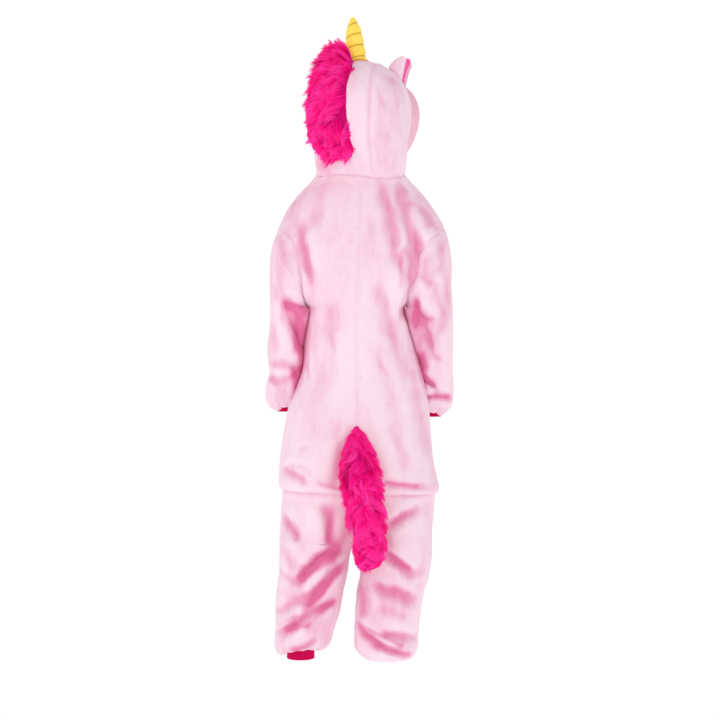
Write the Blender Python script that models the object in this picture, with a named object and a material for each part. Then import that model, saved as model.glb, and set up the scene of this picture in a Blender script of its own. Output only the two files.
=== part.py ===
"""A child's hooded fleece onesie with a horn, ears, a fur mane and a fur tail, in the form it has when worn.

The wearer faces -Y, +X is the wearer's left and +Z is up. The origin is the middle of the neck seam.
The tables are in millimetres; MM turns them into metres when a mesh is made.
Every cloth piece is a wall: a grid of points on its outer face, and the same grid moved in by the wall.
"""

from collections import namedtuple
from functools import lru_cache
from math import cos, pi, radians, sin

import bpy
import numpy as np

MM = 0.001
CLOTH_WALL = 2.5
KNIT_WALL = 2.2
SEAM_GAP = 0.34
REST_GAP = 0.4
QUARTER_COLUMNS = 9
GUSSET_COLUMNS = 2
GUSSET_ANGLE = 14.5
HEM_TILT = 0.025
HEM_TILT_HEIGHT = -590
HEM_TILT_SPREAD = 150
HOOD_TURN = 6.0
HOOD_MIDDLE = (0.0, -10.0, 80.0)
FINE = 6
HOOD_TURN_FROM, HOOD_TURN_TO = 5, 80

# z is the height of a section at its sides; left and right are its half widths from the centre line,
# back and front its depths, dip_back and dip_front what its ends lie above z, edge the share of the
# width that the panels cover beside an armhole, power the roundness, steps the rows to the next section.
Section = namedtuple(
    "Section", "z centre left right back front dip_back dip_front edge power steps"
)
BODY = [
    Section(2, -1, 85, 85, 60, 62, -4, -46, 1.00, 2.00, 1),
    Section(-14, -1, 98, 98, 69, 70, -4, -41, 1.00, 2.00, 1),
    Section(-36, -1, 118, 119, 79, 79, -4, -33, 1.00, 2.05, 1),
    Section(-61, -1, 137, 138, 87, 86, -3, -20, 1.00, 2.10, 1),
    Section(-95, 0, 153, 159, 94, 93, -1, -7, 1.00, 2.20, 1),
    Section(-110, 0, 158, 164, 97, 95, 0, -4, 0.90, 2.25, 1),
    Section(-126, 1, 157, 162, 99, 97, 0, -2, 0.80, 2.30, 2),
    Section(-158, 2, 150, 153, 102, 100, 0, 0, 0.76, 2.30, 1),
    Section(-190, 3, 139, 143, 104, 102, 0, 0, 0.78, 2.30, 1),
    Section(-218, 4, 123, 122, 104, 104, 0, 0, 0.85, 2.25, 1),
    Section(-236, 5, 108, 106, 104, 104, 0, 0, 0.925, 2.20, 1),
    Section(-246, 5, 98, 95, 103, 105, 0, 0, 0.975, 2.20, 1),
    Section(-250, 5, 94, 91, 103, 105, 0, 0, 1.00, 2.20, 1),
    Section(-285, 5, 97, 98, 102, 106, 0, 0, 1.00, 2.20, 1),
    Section(-320, 5, 101, 107, 102, 107, 0, 0, 1.00, 2.20, 1),
    Section(-361, 5, 104, 119, 103, 108, 0, 0, 1.00, 2.15, 2),
    Section(-403, 5, 115, 128, 107, 109, 0, 0, 1.00, 2.10, 2),
    Section(-447, 5, 132, 136, 113, 108, 0, 0, 1.00, 2.10, 2),
    Section(-500, 5, 141, 141, 120, 106, 0, 0, 1.00, 2.20, 2),
    Section(-541, 5, 147, 145, 124, 105, 0, 0, 1.00, 2.30, 2),
    Section(-571, 5, 149, 152, 124, 104, 0, 0, 1.00, 2.30, 1),
    Section(-586, 5, 149, 155, 122, 103, 0, 0, 1.00, 2.30, 1),
    Section(-595, 5, 147, 153, 118, 100, 0, 0, 1.00, 2.30, 1),
    Section(-600, 5, 142, 148, 113, 96, 0, 0, 1.00, 2.30, 0),
]
SHOULDER_TIP, ARMPIT = 4, 12

# outer and inner are the sides of a leg's ring, middle is where its two halves meet, sag is how far its
# outer side hangs below z, and lift how far its back is drawn up above it.
LegRing = namedtuple("LegRing", "z outer middle inner back front level sag lift power steps")
LEFT_LEG = [
    LegRing(-600, 147, 5, -80, 113, 96, 0, 0, 0, 2.30, 1),
    LegRing(-610, 147, 14, -76, 112, 95, 0, 0, 0, 2.30, 1),
    LegRing(-631, 149, 36, -62, 111, 95, 0, 0, 0, 2.30, 1),
    LegRing(-662, 151, 58, -38, 108, 94, 0, 0, 0, 2.25, 1),
    LegRing(-682, 152, 72, -12, 105, 92, 2, 0, 0, 2.20, 1),
    LegRing(-692, 153, 80, 5, 103, 91, 3, 0, 0, 2.20, 1),
    LegRing(-712, 153, 85, 18, 99, 88, 4, 0, 0, 2.20, 2),
    LegRing(-752, 154, 90, 24, 91, 82, 5, 0, 0, 2.20, 2),
    LegRing(-790, 160, 96, 32, 84, 77, 6, 0, 0, 2.20, 2),
    LegRing(-822, 162, 101, 38, 79, 73, 8, 0, 0, 2.20, 2),
    LegRing(-858, 161, 106, 49, 74, 68, 10, 0, 0, 2.20, 2),
    LegRing(-882, 163, 110, 54, 69, 62, 12, 2, 3, 2.20, 1),
    LegRing(-896, 159, 112, 61, 63, 56, 13, 5, 7, 2.15, 1),
    LegRing(-905, 147, 112, 75, 53, 46, 14, 5, 13, 2.10, 1),
    LegRing(-903, 141, 112, 83, 46, 38, 14, 3, 15, 2.10, 1),
    LegRing(-893, 139.6, 112, 84.4, 43, 36, 14, 0, 13, 2.10, 0),
]
RIGHT_LEG = [
    LegRing(-600, -143, 5, 90, 113, 96, 0, 0, 0, 2.30, 1),
    LegRing(-610, -142, -4, 86, 112, 95, 0, 0, 0, 2.30, 1),
    LegRing(-631, -141, -26, 72, 111, 95, 0, 0, 0, 2.30, 1),
    LegRing(-662, -138, -46, 50, 108, 94, 0, 0, 0, 2.25, 1),
    LegRing(-682, -137, -60, 24, 105, 92, 2, 0, 0, 2.20, 1),
    LegRing(-692, -137, -68, 5, 103, 91, 3, 0, 0, 2.20, 1),
    LegRing(-712, -137, -70, -1, 99, 88, 4, 0, 0, 2.20, 2),
    LegRing(-752, -131, -66, -1, 91, 82, 5, 0, 0, 2.20, 2),
    LegRing(-790, -120, -57, 6, 84, 77, 6, 0, 0, 2.20, 2),
    LegRing(-826, -114, -53, 9, 79, 73, 8, 0, 0, 2.20, 2),
    LegRing(-860, -110, -50, 11, 75, 69, 10, 0, 0, 2.20, 2),
    LegRing(-888, -109, -49, 12, 71, 64, 12, 0, 0, 2.20, 1),
    LegRing(-903, -104, -50, 4, 65, 58, 13, 0, 0, 2.15, 1),
    LegRing(-912, -92, -51, -10, 55, 48, 14, 0, 0, 2.10, 1),
    LegRing(-910, -82, -52, -22, 46, 39, 14, 0, 0, 2.10, 1),
    LegRing(-900, -79.6, -52, -24.4, 43, 36, 14, 0, 0, 2.10, 0),
]
CROTCH = 5
MEETING_LINE = 5

# A sleeve's ring slants: high_z and outer are its outer side, low_z and inner its side at the body.
SleeveRing = namedtuple("SleeveRing", "high_z outer low_z inner level back front steps")
LEFT_SLEEVE = [
    SleeveRing(-118, 163, -253, 102, 0, 79, 76, 1),
    SleeveRing(-140, 169, -260, 103, 0, 72, 70, 1),
    SleeveRing(-172, 172, -272, 102.8, -1, 64, 63, 1),
    SleeveRing(-208, 173, -288, 104.2, -4, 57, 57, 1),
    SleeveRing(-250, 173, -308, 106.4, -9, 52, 53, 1),
    SleeveRing(-291, 174, -332, 108.6, -16, 49, 50, 1),
    SleeveRing(-325, 178, -354, 110.5, -23, 48, 48, 1),
    SleeveRing(-352, 177, -374, 113, -30, 46, 47, 1),
    SleeveRing(-372, 174, -388, 114, -37, 44, 45, 1),
    SleeveRing(-395, 180, -403, 117, -46, 43, 47, 1),
    SleeveRing(-420, 182, -421, 119.5, -57, 41, 48, 1),
    SleeveRing(-433, 178, -432, 121, -65, 37, 44, 1),
    SleeveRing(-441, 170, -440, 125, -69, 32, 36, 1),
    SleeveRing(-436, 161.9, -435, 128.7, -69, 26.5, 26.5, 1),
    SleeveRing(-428, 161.1, -427, 127.9, -69, 25.6, 25.6, 0),
]
RIGHT_SLEEVE = [
    SleeveRing(-118, -168, -253, -90, 0, 79, 76, 1),
    SleeveRing(-140, -172, -260, -92, 0, 72, 70, 1),
    SleeveRing(-172, -175, -272, -92.5, -1, 64, 63, 1),
    SleeveRing(-208, -174, -288, -95.8, -4, 57, 57, 1),
    SleeveRing(-250, -177, -308, -100.8, -9, 52, 53, 1),
    SleeveRing(-291, -178, -332, -107.6, -16, 49, 50, 1),
    SleeveRing(-325, -178, -354, -114, -23, 48, 48, 1),
    SleeveRing(-352, -178, -374, -118, -30, 46, 47, 1),
    SleeveRing(-380, -179, -396, -119, -40, 44, 45, 1),
    SleeveRing(-405, -181, -412, -119, -50, 43, 47, 1),
    SleeveRing(-428, -180, -430, -117, -59, 42, 48, 1),
    SleeveRing(-442, -175, -442, -117, -66, 39, 45, 1),
    SleeveRing(-451, -166, -451, -121.5, -71, 33, 38, 1),
    SleeveRing(-446, -158.5, -446, -124.6, -72, 26.5, 26.5, 1),
    SleeveRing(-438, -157.6, -438, -124.4, -72, 25.6, 25.6, 0),
]

# A hood ring stands on the throat and reaches the crown line; half is its half width, and egg is how
# much wider it is near the crown than near the throat.
HoodRing = namedtuple("HoodRing", "throat_y throat_z crown_y crown_z half egg power steps")
HOOD = [
    HoodRing(-62, -44, 60, -2, 85, 0.00, 2.00, 1),
    HoodRing(-65, -42, 74, 22, 85, 0.00, 2.00, 1),
    HoodRing(-68, -40, 86, 52, 87, 0.00, 2.05, 1),
    HoodRing(-70, -39, 93, 92, 89, 0.00, 2.15, 1),
    HoodRing(-74, -37, 88, 146, 90, 0.02, 2.25, 2),
    HoodRing(-78, -36, 60, 192, 90, 0.06, 2.30, 2),
    HoodRing(-82, -35, 14, 216, 90, 0.14, 2.30, 1),
    HoodRing(-86, -34, -38, 218, 89, 0.22, 2.25, 1),
    HoodRing(-90, -33, -80, 207, 88, 0.32, 2.15, 0),
]
BRIM = [
    HoodRing(-90, -33, -80, 207, 88, 0.32, 2.15, 1),
    HoodRing(-95, -32, -97, 204, 91, 0.36, 2.10, 1),
    HoodRing(-100, -33, -108, 205, 96, 0.40, 2.05, 1),
    HoodRing(-104, -35, -114, 209, 99, 0.42, 2.00, 0),
]

# A fold runs from (x0, z0) to (x1, z1), bowed sideways by bow, on the back (side 1) or front (-1).
Fold = namedtuple("Fold", "side x0 z0 x1 z1 bow depth width")
BODY_FOLDS = [
    Fold(1, -38, -23, -66, -165, 6, 5, 17),
    Fold(1, -70, -22, -116, -165, -8, 6, 15),
    Fold(1, -90, -135, -90, -268, 10, 8, 15),
    Fold(1, 101, -129, 95, -188, 0, 6, 14),
    Fold(1, -49, -291, -97, -391, 0, 6, 19),
    Fold(1, -97, -391, -128, -530, 0, 4, 17),
    Fold(1, 48, -235, 66, -410, 6, 3, 24),
    Fold(1, 22, -492, 48, -585, 0, 5, 15),
    Fold(1, 140, -566, 98, -580, 5, 4, 13),
    Fold(1, -46, -578, -110, -584, 0, 4, 13),
    Fold(-1, 60, -60, 96, -190, 6, 6, 16),
    Fold(-1, -58, -60, -92, -200, -6, 6, 16),
    Fold(-1, 74, -260, 60, -420, 8, 5, 20),
    Fold(-1, -70, -290, -92, -450, -8, 5, 20),
    Fold(-1, 100, -480, 55, -585, 6, 4, 16),
    Fold(-1, -104, -500, -50, -590, -6, 4, 16),
]
SLEEVE_FOLDS = [
    Fold(1, 139, -236, 112, -318, 0, 7, 14),
    Fold(1, 172, -353, 122, -367, 0, 5, 13),
    Fold(1, 176, -380, 150, -399, 0, 4, 13),
    Fold(-1, 170, -250, 128, -300, 4, 5, 13),
    Fold(-1, 176, -350, 126, -380, -4, 4, 13),
    Fold(1, -110, -250, -116, -296, 0, 7, 13),
    Fold(1, -118, -300, -146, -340, 0, 5, 13),
    Fold(1, -122, -374, -152, -408, 0, 5, 13),
    Fold(-1, -172, -260, -130, -306, 4, 5, 13),
    Fold(-1, -176, -340, -128, -384, -4, 4, 13),
]
LEG_FOLDS = [
    Fold(1, 148, -647, 106, -682, 0, 5, 14),
    Fold(1, 61, -622, 51, -690, 0, 5, 13),
    Fold(1, 40, -699, 116, -766, -9, 8, 13),
    Fold(1, 34, -739, 102, -816, 0, 5, 13),
    Fold(1, 164, -827, 84, -781, 0, 5, 13),
    Fold(1, 50, -809, 146, -868, -6, 4, 13),
    Fold(-1, 130, -660, 70, -700, 0, 5, 14),
    Fold(-1, 150, -760, 60, -800, 6, 6, 14),
    Fold(-1, 154, -850, 66, -835, 0, 5, 13),
    Fold(1, -50, -656, -112, -625, 0, 5, 14),
    Fold(1, -50, -710, -102, -747, 0, 5, 14),
    Fold(1, -30, -790, -112, -794, 0, 4, 13),
    Fold(1, -26, -858, -108, -862, 0, 4, 13),
    Fold(1, 8, -845, -102, -905, -6, 6, 13),
    Fold(-1, -116, -650, -60, -690, 0, 5, 14),
    Fold(-1, -120, -745, -20, -790, -6, 6, 14),
    Fold(-1, -100, -850, 0, -830, 0, 5, 13),
]

# The mane lies on the left of the hood: its rows run from the nape, at share 0 of the hood's rows,
# over the crown; start and end are angles from the crown line, height is what the fur stands off.
ManeRow = namedtuple("ManeRow", "share start end height")
MANE = [
    ManeRow(0.10, 9, 46, 8),
    ManeRow(0.15, 6, 54, 16),
    ManeRow(0.24, 8, 66, 19),
    ManeRow(0.36, 9, 71, 18),
    ManeRow(0.48, 8, 68, 19),
    ManeRow(0.59, 4, 58, 24),
    ManeRow(0.67, 4, 47, 35),
    ManeRow(0.735, 6, 35, 41),
    ManeRow(0.785, 18, 29, 27),
    ManeRow(0.82, 23, 27, 9),
]
MANE_COLUMNS = 9
MANE_LOCK = 3.0
MANE_SKEW = 0.72

# The tail's rings: left and right are its sides, near is how far its inner face lies from the middle
# plane of the body and deep its thickness there.
TailRing = namedtuple("TailRing", "z left right near deep")
TAIL = [
    TailRing(-472, 9, 3, 116.7, 6),
    TailRing(-486, 18, -8, 120.2, 17),
    TailRing(-508, 29, -23, 125.5, 28),
    TailRing(-538, 39, -35, 127, 38),
    TailRing(-568, 40, -41, 127, 42),
    TailRing(-594, 33, -44, 126, 44),
    TailRing(-624, 27, -48, 126, 44),
    TailRing(-660, 22, -51, 124, 42),
    TailRing(-692, 15, -49, 122, 38),
    TailRing(-715, 9, -44, 120, 32),
    TailRing(-729, 5, -34, 119, 24),
    TailRing(-736, -4, -18, 120, 10),
]
TAIL_SIDES = 16
TAIL_LOCK = 2.5

HORN_BASE = (8, -17)
HORN_TIP = (14, -33, 307)
HORN_RADIUS = 22.0
HORN_FLARE = 4.0
HORN_TIP_RADIUS = 10.0
HORN_TURNS = 4
HORN_ROWS = 22
HORN_SIDES = 12
HORN_PUFF = 0.14

# The foot of an ear is a bow on the hood: share is how far round from nape to brim, angle from the
# crown line; rise and lean are how far its rim stands up and out above that point.
EarPoint = namedtuple("EarPoint", "share angle rise lean back")
EAR = [
    EarPoint(0.784, 50, 46, 2, 0),
    EarPoint(0.788, 44, 43, 3, 1),
    EarPoint(0.798, 37, 33, 2, 1),
    EarPoint(0.815, 31, 20, 0, 1),
    EarPoint(0.838, 27, 12, -1, 0),
    EarPoint(0.861, 31, 21, 1, -2),
    EarPoint(0.880, 37, 34, 5, -3),
    EarPoint(0.893, 44, 43, 9, -3),
    EarPoint(0.899, 52, 42, 7, -1),
]
EAR_ROWS = 5
EAR_LINING_WALL = 1.6

# A cuff is a straight knitted tube.
Cuff = namedtuple("Cuff", "name x y half_x half_y top bottom")
CUFFS = [
    Cuff("wrist_cuff_left", 144.5, -69, 15.4, 24.4, -426, -449),
    Cuff("wrist_cuff_right", -141, -72, 15.4, 24.4, -436, -459),
    Cuff("ankle_cuff_left", 112, 17.5, 26.1, 38.1, -877, -912),
    Cuff("ankle_cuff_right", -52, 17.5, 26.1, 38.1, -897, -911),
]
CUFF_SIDES = 16

BAND_HALF = 14
BAND_WALL = 1.6
BAND_REST = 0.9
BAND_BOTTOM = -470
BUTTON_HEIGHTS = (-75, -165, -255, -345, -435)
BUTTON_RADIUS = 8
BUTTON_THICK = 3.2
BUTTON_SIDES = 12

PALE_PINK = (0.93, 0.69, 0.79)
DEEP_PINK = (0.84, 0.40, 0.55)
HOT_PINK = (0.93, 0.02, 0.22)
CRIMSON = (0.66, 0.01, 0.10)
ORCHID = (0.86, 0.15, 0.46)
YELLOW = (0.95, 0.62, 0.06)


def sections(rows, scale=1):
    """The rows of a table with smooth rows between them, on curves that don't pass the table's values."""
    table = np.array(rows, float)
    steps = table[:-1, -1].astype(int) * scale
    table = table[:, :-1]
    run = np.linalg.norm(np.diff(table[:, :2], axis=0), axis=1) + 1e-6
    slope = np.diff(table, axis=0) / run[:, None]
    tangent = np.zeros_like(table)
    tangent[0], tangent[-1] = slope[0], slope[-1]
    before, after = slope[:-1], slope[1:]
    same_way = before * after > 0
    total = np.where(same_way, before + after, 1)
    tangent[1:-1] = np.where(same_way, 2 * before * after / total, 0)
    out = []
    for i, count in enumerate(steps):
        for t in np.arange(count) / count:
            out.append(
                (2 * t**3 - 3 * t**2 + 1) * table[i]
                + (t**3 - 2 * t**2 + t) * run[i] * tangent[i]
                + (3 * t**2 - 2 * t**3) * table[i + 1]
                + (t**3 - t**2) * run[i] * tangent[i + 1]
            )
    out.append(table[-1])
    return np.array(out)


def row_number(rows, section, scale=1):
    """The row of the grid at which a section of its table lies."""
    return scale * sum(row.steps for row in rows[:section])


def rounded(value, power):
    return np.sign(value) * np.abs(value) ** (2 / power)


def quarter_angles(scale=1):
    """Column angles from the centre line (0) to the side (90), one of them at the hood's centre strip."""
    strip = np.linspace(0, GUSSET_ANGLE, GUSSET_COLUMNS * scale + 1)
    rest = (QUARTER_COLUMNS - GUSSET_COLUMNS) * scale + 1
    return np.concatenate([strip, np.linspace(GUSSET_ANGLE, 90, rest)[1:]])


def fold_depth(points, facing, folds):
    """How far the folds push each point in; facing is its outward Y share."""
    depth = np.zeros(points.shape[:-1])
    for fold in folds:
        run = np.array([fold.x1 - fold.x0, fold.z1 - fold.z0], float)
        length = np.linalg.norm(run)
        run /= length
        x, z = points[..., 0] - fold.x0, points[..., 2] - fold.z0
        along = (x * run[0] + z * run[1]) / length
        bow = fold.bow * 4 * along * (1 - along)
        across = (x * run[1] - z * run[0] - bow) / fold.width
        fade = np.clip(np.minimum(along + 0.12, 1.12 - along) / 0.3, 0, 1)
        fade = fade * fade * (3 - 2 * fade)
        side = np.clip(fold.side * facing * 1.6, 0, 1)
        trough = (1 - 0.9 * across**2) * np.exp(-(across**2))
        depth += fold.depth * fade * side * trough
    return depth


def folded(points, outward, folds, share=1):
    depth = fold_depth(points, outward[..., 1], folds) * share
    return points - outward * depth[..., None]


def fold_share(number, count, scale):
    """Folds fade out at the gathered end of a sleeve or leg, whose last rows turn in to the cuff."""
    return min(1, max(0, (count - 1 - number) / scale - 2) / 2)


def tilted(points):
    """The seat seam and what is near it hang lower on the right side."""
    near = np.exp(-(((points[..., 2] - HEM_TILT_HEIGHT) / HEM_TILT_SPREAD) ** 2))
    out = points.copy()
    out[..., 2] += HEM_TILT * near * points[..., 0]
    return out


def turned(points):
    """The hood follows the head, which looks a little to the right."""
    share = (points[..., 2] - HOOD_TURN_FROM) / (HOOD_TURN_TO - HOOD_TURN_FROM)
    share = np.clip(share, 0, 1)
    angle = -radians(HOOD_TURN) * share * share * (3 - 2 * share)
    out = points.copy()
    out[..., 0] = points[..., 0] * np.cos(angle) - points[..., 1] * np.sin(angle)
    out[..., 1] = points[..., 0] * np.sin(angle) + points[..., 1] * np.cos(angle)
    return out


def body_side(side, scale=1):
    """The outer points of one half of the body, left (1) or right (-1).

    The columns run from the centre back over the side to the centre front; the side column is double,
    because beside an armhole the back and the front end apart.
    """
    table = sections(BODY, scale)
    z, centre, left, right, back, front, dip_back, dip_front, edge, power = (
        table.T[:, :, None]
    )
    half = left if side > 0 else right
    power = np.maximum(power, 1)
    limit = np.arcsin(np.clip(edge, 0, 1) ** (power / 2))
    angles = np.radians(quarter_angles(scale)) / (pi / 2)
    out = []
    for end, depth, dip in ((1, back, dip_back), (-1, front, dip_front)):
        angle = angles[None, :] * limit
        across = rounded(np.sin(angle), power)
        ahead = rounded(np.abs(np.cos(angle)), power)
        ahead[np.abs(ahead) < 1e-6] = 0
        x = centre + side * half * across
        y = end * depth * ahead
        points = np.stack([x, y, z + dip * ahead**2], axis=-1)
        normal = np.stack(
            [
                side * across ** (power - 1) / half,
                end * ahead ** (power - 1) / depth,
                np.zeros_like(x),
            ],
            axis=-1,
        )
        normal /= np.linalg.norm(normal, axis=-1, keepdims=True)
        points = folded(points, normal, BODY_FOLDS)
        points[:, 0, 0] = centre[:, 0]
        out.append(tilted(points))
    return out[0], out[1]


def leg_grid(rows, side, hem, scale=1):
    """The outer points of a leg, from the centre back round its outer side to the centre front.

    Above the crotch its rows are open at the meeting line; below it they close.
    """
    table = sections(rows, scale)
    angles = half_angles(scale)
    crotch = row_number(rows, CROTCH, scale)
    out = []
    for number, row in enumerate(table):
        z, outer, middle, inner, back, front, level, sag, lift, power = row
        reach = np.clip((middle - MEETING_LINE) / (middle - inner), -1, 1)
        start = pi / 2 - np.arcsin(np.abs(reach) ** (power / 2) * np.sign(reach))
        if number >= crotch:
            start = 0
        around = start + (2 * pi - 2 * start) * angles / pi
        inward = rounded(np.cos(around), power)
        ahead = rounded(np.sin(around), power)
        half = np.where(inward > 0, middle - inner, outer - middle)
        x = middle - np.abs(half) * side * inward
        y = level + np.where(ahead > 0, back, front) * ahead
        height = z + sag * inward + lift * np.maximum(ahead, 0)
        points = np.stack([x, y, height], axis=-1)
        outward = np.stack([-side * inward, ahead, np.zeros_like(x)], axis=-1)
        outward /= np.linalg.norm(outward, axis=-1, keepdims=True)
        share = fold_share(number, len(table), scale)
        points = tilted(folded(points, outward, LEG_FOLDS, share))
        if number < crotch:
            points[[0, -1], 0] = MEETING_LINE
        out.append(points)
    out[0] = hem.copy()
    grid = np.array(out)
    grid[crotch:, -1] = grid[crotch:, 0]
    grid[crotch, [0, -1], 0] = MEETING_LINE
    return grid


def sleeve_grid(rows, side, armhole, scale=1):
    """The outer points of a sleeve: the armhole's loop, then its rings, as closed rows."""
    count = len(armhole)
    table = sections(rows, scale)
    step = np.linalg.norm(np.diff(armhole, axis=0, append=armhole[:1]), axis=1)
    around = np.concatenate([[0], np.cumsum(step)])
    bottom = count // 2
    first = pi * around[: bottom + 1] / around[bottom]
    last = pi + pi * (around[bottom:-1] - around[bottom]) / (around[-1] - around[bottom])
    by_length = np.concatenate([first, last[1:]])
    even = np.arange(count) * 2 * pi / count
    out = []
    for number, row in enumerate(table):
        high_z, outer, low_z, inner, level, back, front = row
        blend = min(1, number / (6 * scale))
        angle = by_length * (1 - blend) + even * blend
        up, ahead = np.cos(angle), np.sin(angle)
        x = (outer + inner) / 2 + (outer - inner) / 2 * rounded(up, 2.15)
        y = level + np.where(ahead > 0, back, front) * rounded(ahead, 2.15)
        z = (high_z + low_z) / 2 + (high_z - low_z) / 2 * up
        points = np.stack([x, y, z], axis=-1)
        outward = np.stack([side * up, ahead, np.zeros_like(x)], axis=-1)
        share = fold_share(number, len(table), scale)
        out.append(folded(points, outward, SLEEVE_FOLDS, share))
    lead = [armhole * (1 - t) + out[0] * t for t in np.arange(1, scale) / scale]
    return np.array([armhole] + lead + out)


def armhole_loop(back, front, scale=1):
    """The loop down the back edge of an armhole and up its front edge."""
    top, bottom = row_number(BODY, SHOULDER_TIP, scale), row_number(BODY, ARMPIT, scale)
    return np.concatenate([back[top : bottom + 1, -1], front[bottom - 1 : top : -1, -1]])


def hood_ring(row, angles):
    """The points of one hood ring; the angle runs from the crown line (0) to the throat (180)."""
    throat_y, throat_z, crown_y, crown_z, half, egg, power = row
    along = rounded(np.cos(angles), power)
    x = half * rounded(np.sin(angles), power) * (1 + egg * np.cos(angles))
    y = (throat_y + crown_y) / 2 + (crown_y - throat_y) / 2 * along
    z = (throat_z + crown_z) / 2 + (crown_z - throat_z) / 2 * along
    return np.stack([x, y, z], axis=-1)


def hood_grid(rows, neck, angles, scale=1):
    """The hood's outer points; its first row is the neck seam, whose form fades out upward."""
    table = sections(rows, scale)
    grid = np.array([hood_ring(row, angles) for row in table])
    if neck is not None:
        change = neck - grid[0]
        for number in range(len(grid)):
            grid[number] += change * (1 - number / (len(grid) - 1))
    return turned(grid)


def half_angles(scale=1):
    """Column angles of one half of the hood, from the crown line (0) to the throat (180), in radians."""
    quarter = quarter_angles(scale)
    return np.radians(np.concatenate([quarter, 180 - quarter[-2::-1]]))


def neck_seam(scale=1):
    """The neck seam's points from the left throat over the nape to the right, and their angles."""
    halves = []
    for side in (-1, 1):
        back, front = body_side(side, scale)
        halves.append(np.concatenate([back[0], front[0, -2::-1]]))
    angles = half_angles(scale)
    return np.concatenate([halves[0][:0:-1], halves[1]]), np.concatenate([-angles[:0:-1], angles])


@lru_cache
def fine_hood():
    """The hood's outer points in fine steps, the length share of each row and the angle of each column."""
    neck, angles = neck_seam(FINE)
    grid = hood_grid(HOOD, neck, angles, FINE)
    crown = grid[:, len(angles) // 2]
    run = np.concatenate([[0], np.cumsum(np.linalg.norm(np.diff(crown, axis=0), axis=1))])
    return grid, run / run[-1], angles


def hood_place(share, angle):
    """The point of the hood's outer face at a share of the crown line and an angle from it."""
    grid, run, angles = fine_hood()
    row = np.interp(share, run, np.arange(len(run)))
    column = np.interp(angle, angles, np.arange(len(angles)))
    r, c = min(int(row), len(run) - 2), min(int(column), len(angles) - 2)
    u, v = row - r, column - c
    near = grid[r, c] * (1 - v) + grid[r, c + 1] * v
    far = grid[r + 1, c] * (1 - v) + grid[r + 1, c + 1] * v
    return near * (1 - u) + far * u


def hood_at(share, angle):
    """A point of the hood's outer face and its outward direction there."""
    point = hood_place(share, angle)
    along = hood_place(share + 0.03, angle) - hood_place(share - 0.03, angle)
    across = hood_place(share, angle + 0.08) - hood_place(share, angle - 0.08)
    normal = np.cross(along, across)
    normal /= np.linalg.norm(normal)
    if np.dot(normal, point - HOOD_MIDDLE) < 0:
        normal = -normal
    return point, normal


def hood_over(x, y):
    """The height of the hood's outer face above (x, y), near the crown."""
    share, angle = 0.75, 0.0
    size_share, size_angle = 0.2, 1.2
    for _ in range(12):
        tries = [
            (share + i * size_share, angle + j * size_angle)
            for i in (-1, -0.5, 0, 0.5, 1)
            for j in (-1, -0.5, 0, 0.5, 1)
        ]
        tries = [(min(max(s, 0.02), 0.98), a) for s, a in tries]
        misses = [np.hypot(*(hood_place(s, a)[:2] - (x, y))) for s, a in tries]
        share, angle = tries[int(np.argmin(misses))]
        size_share, size_angle = size_share * 0.55, size_angle * 0.55
    return hood_place(share, angle)[2]


def grid_normals(grid, closed_rows, away_from):
    """Unit normals of a grid of points, facing away from a point at its first row."""
    along = np.gradient(grid, axis=0)
    if closed_rows:
        wrapped = np.concatenate([grid[:, -1:], grid, grid[:, :1]], axis=1)
        across = (wrapped[:, 2:] - wrapped[:, :-2]) / 2
    else:
        across = np.gradient(grid, axis=1)
    normal = np.cross(along, across)
    length = np.linalg.norm(normal, axis=-1, keepdims=True)
    normal /= np.maximum(length, 1e-9)
    middle = len(grid) // 3
    outward = grid[middle] - np.asarray(away_from(grid[middle]))
    if (normal[middle] * outward).sum() < 0:
        normal = -normal
    return normal


def shorter_split(points, quad):
    """The two triangles of a four-sided face, split along its shorter diagonal."""
    a, b, c, d = quad
    if np.linalg.norm(points[a] - points[c]) <= np.linalg.norm(points[b] - points[d]):
        return [a, b, c], [a, c, d]
    return [a, b, d], [b, c, d]


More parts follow.
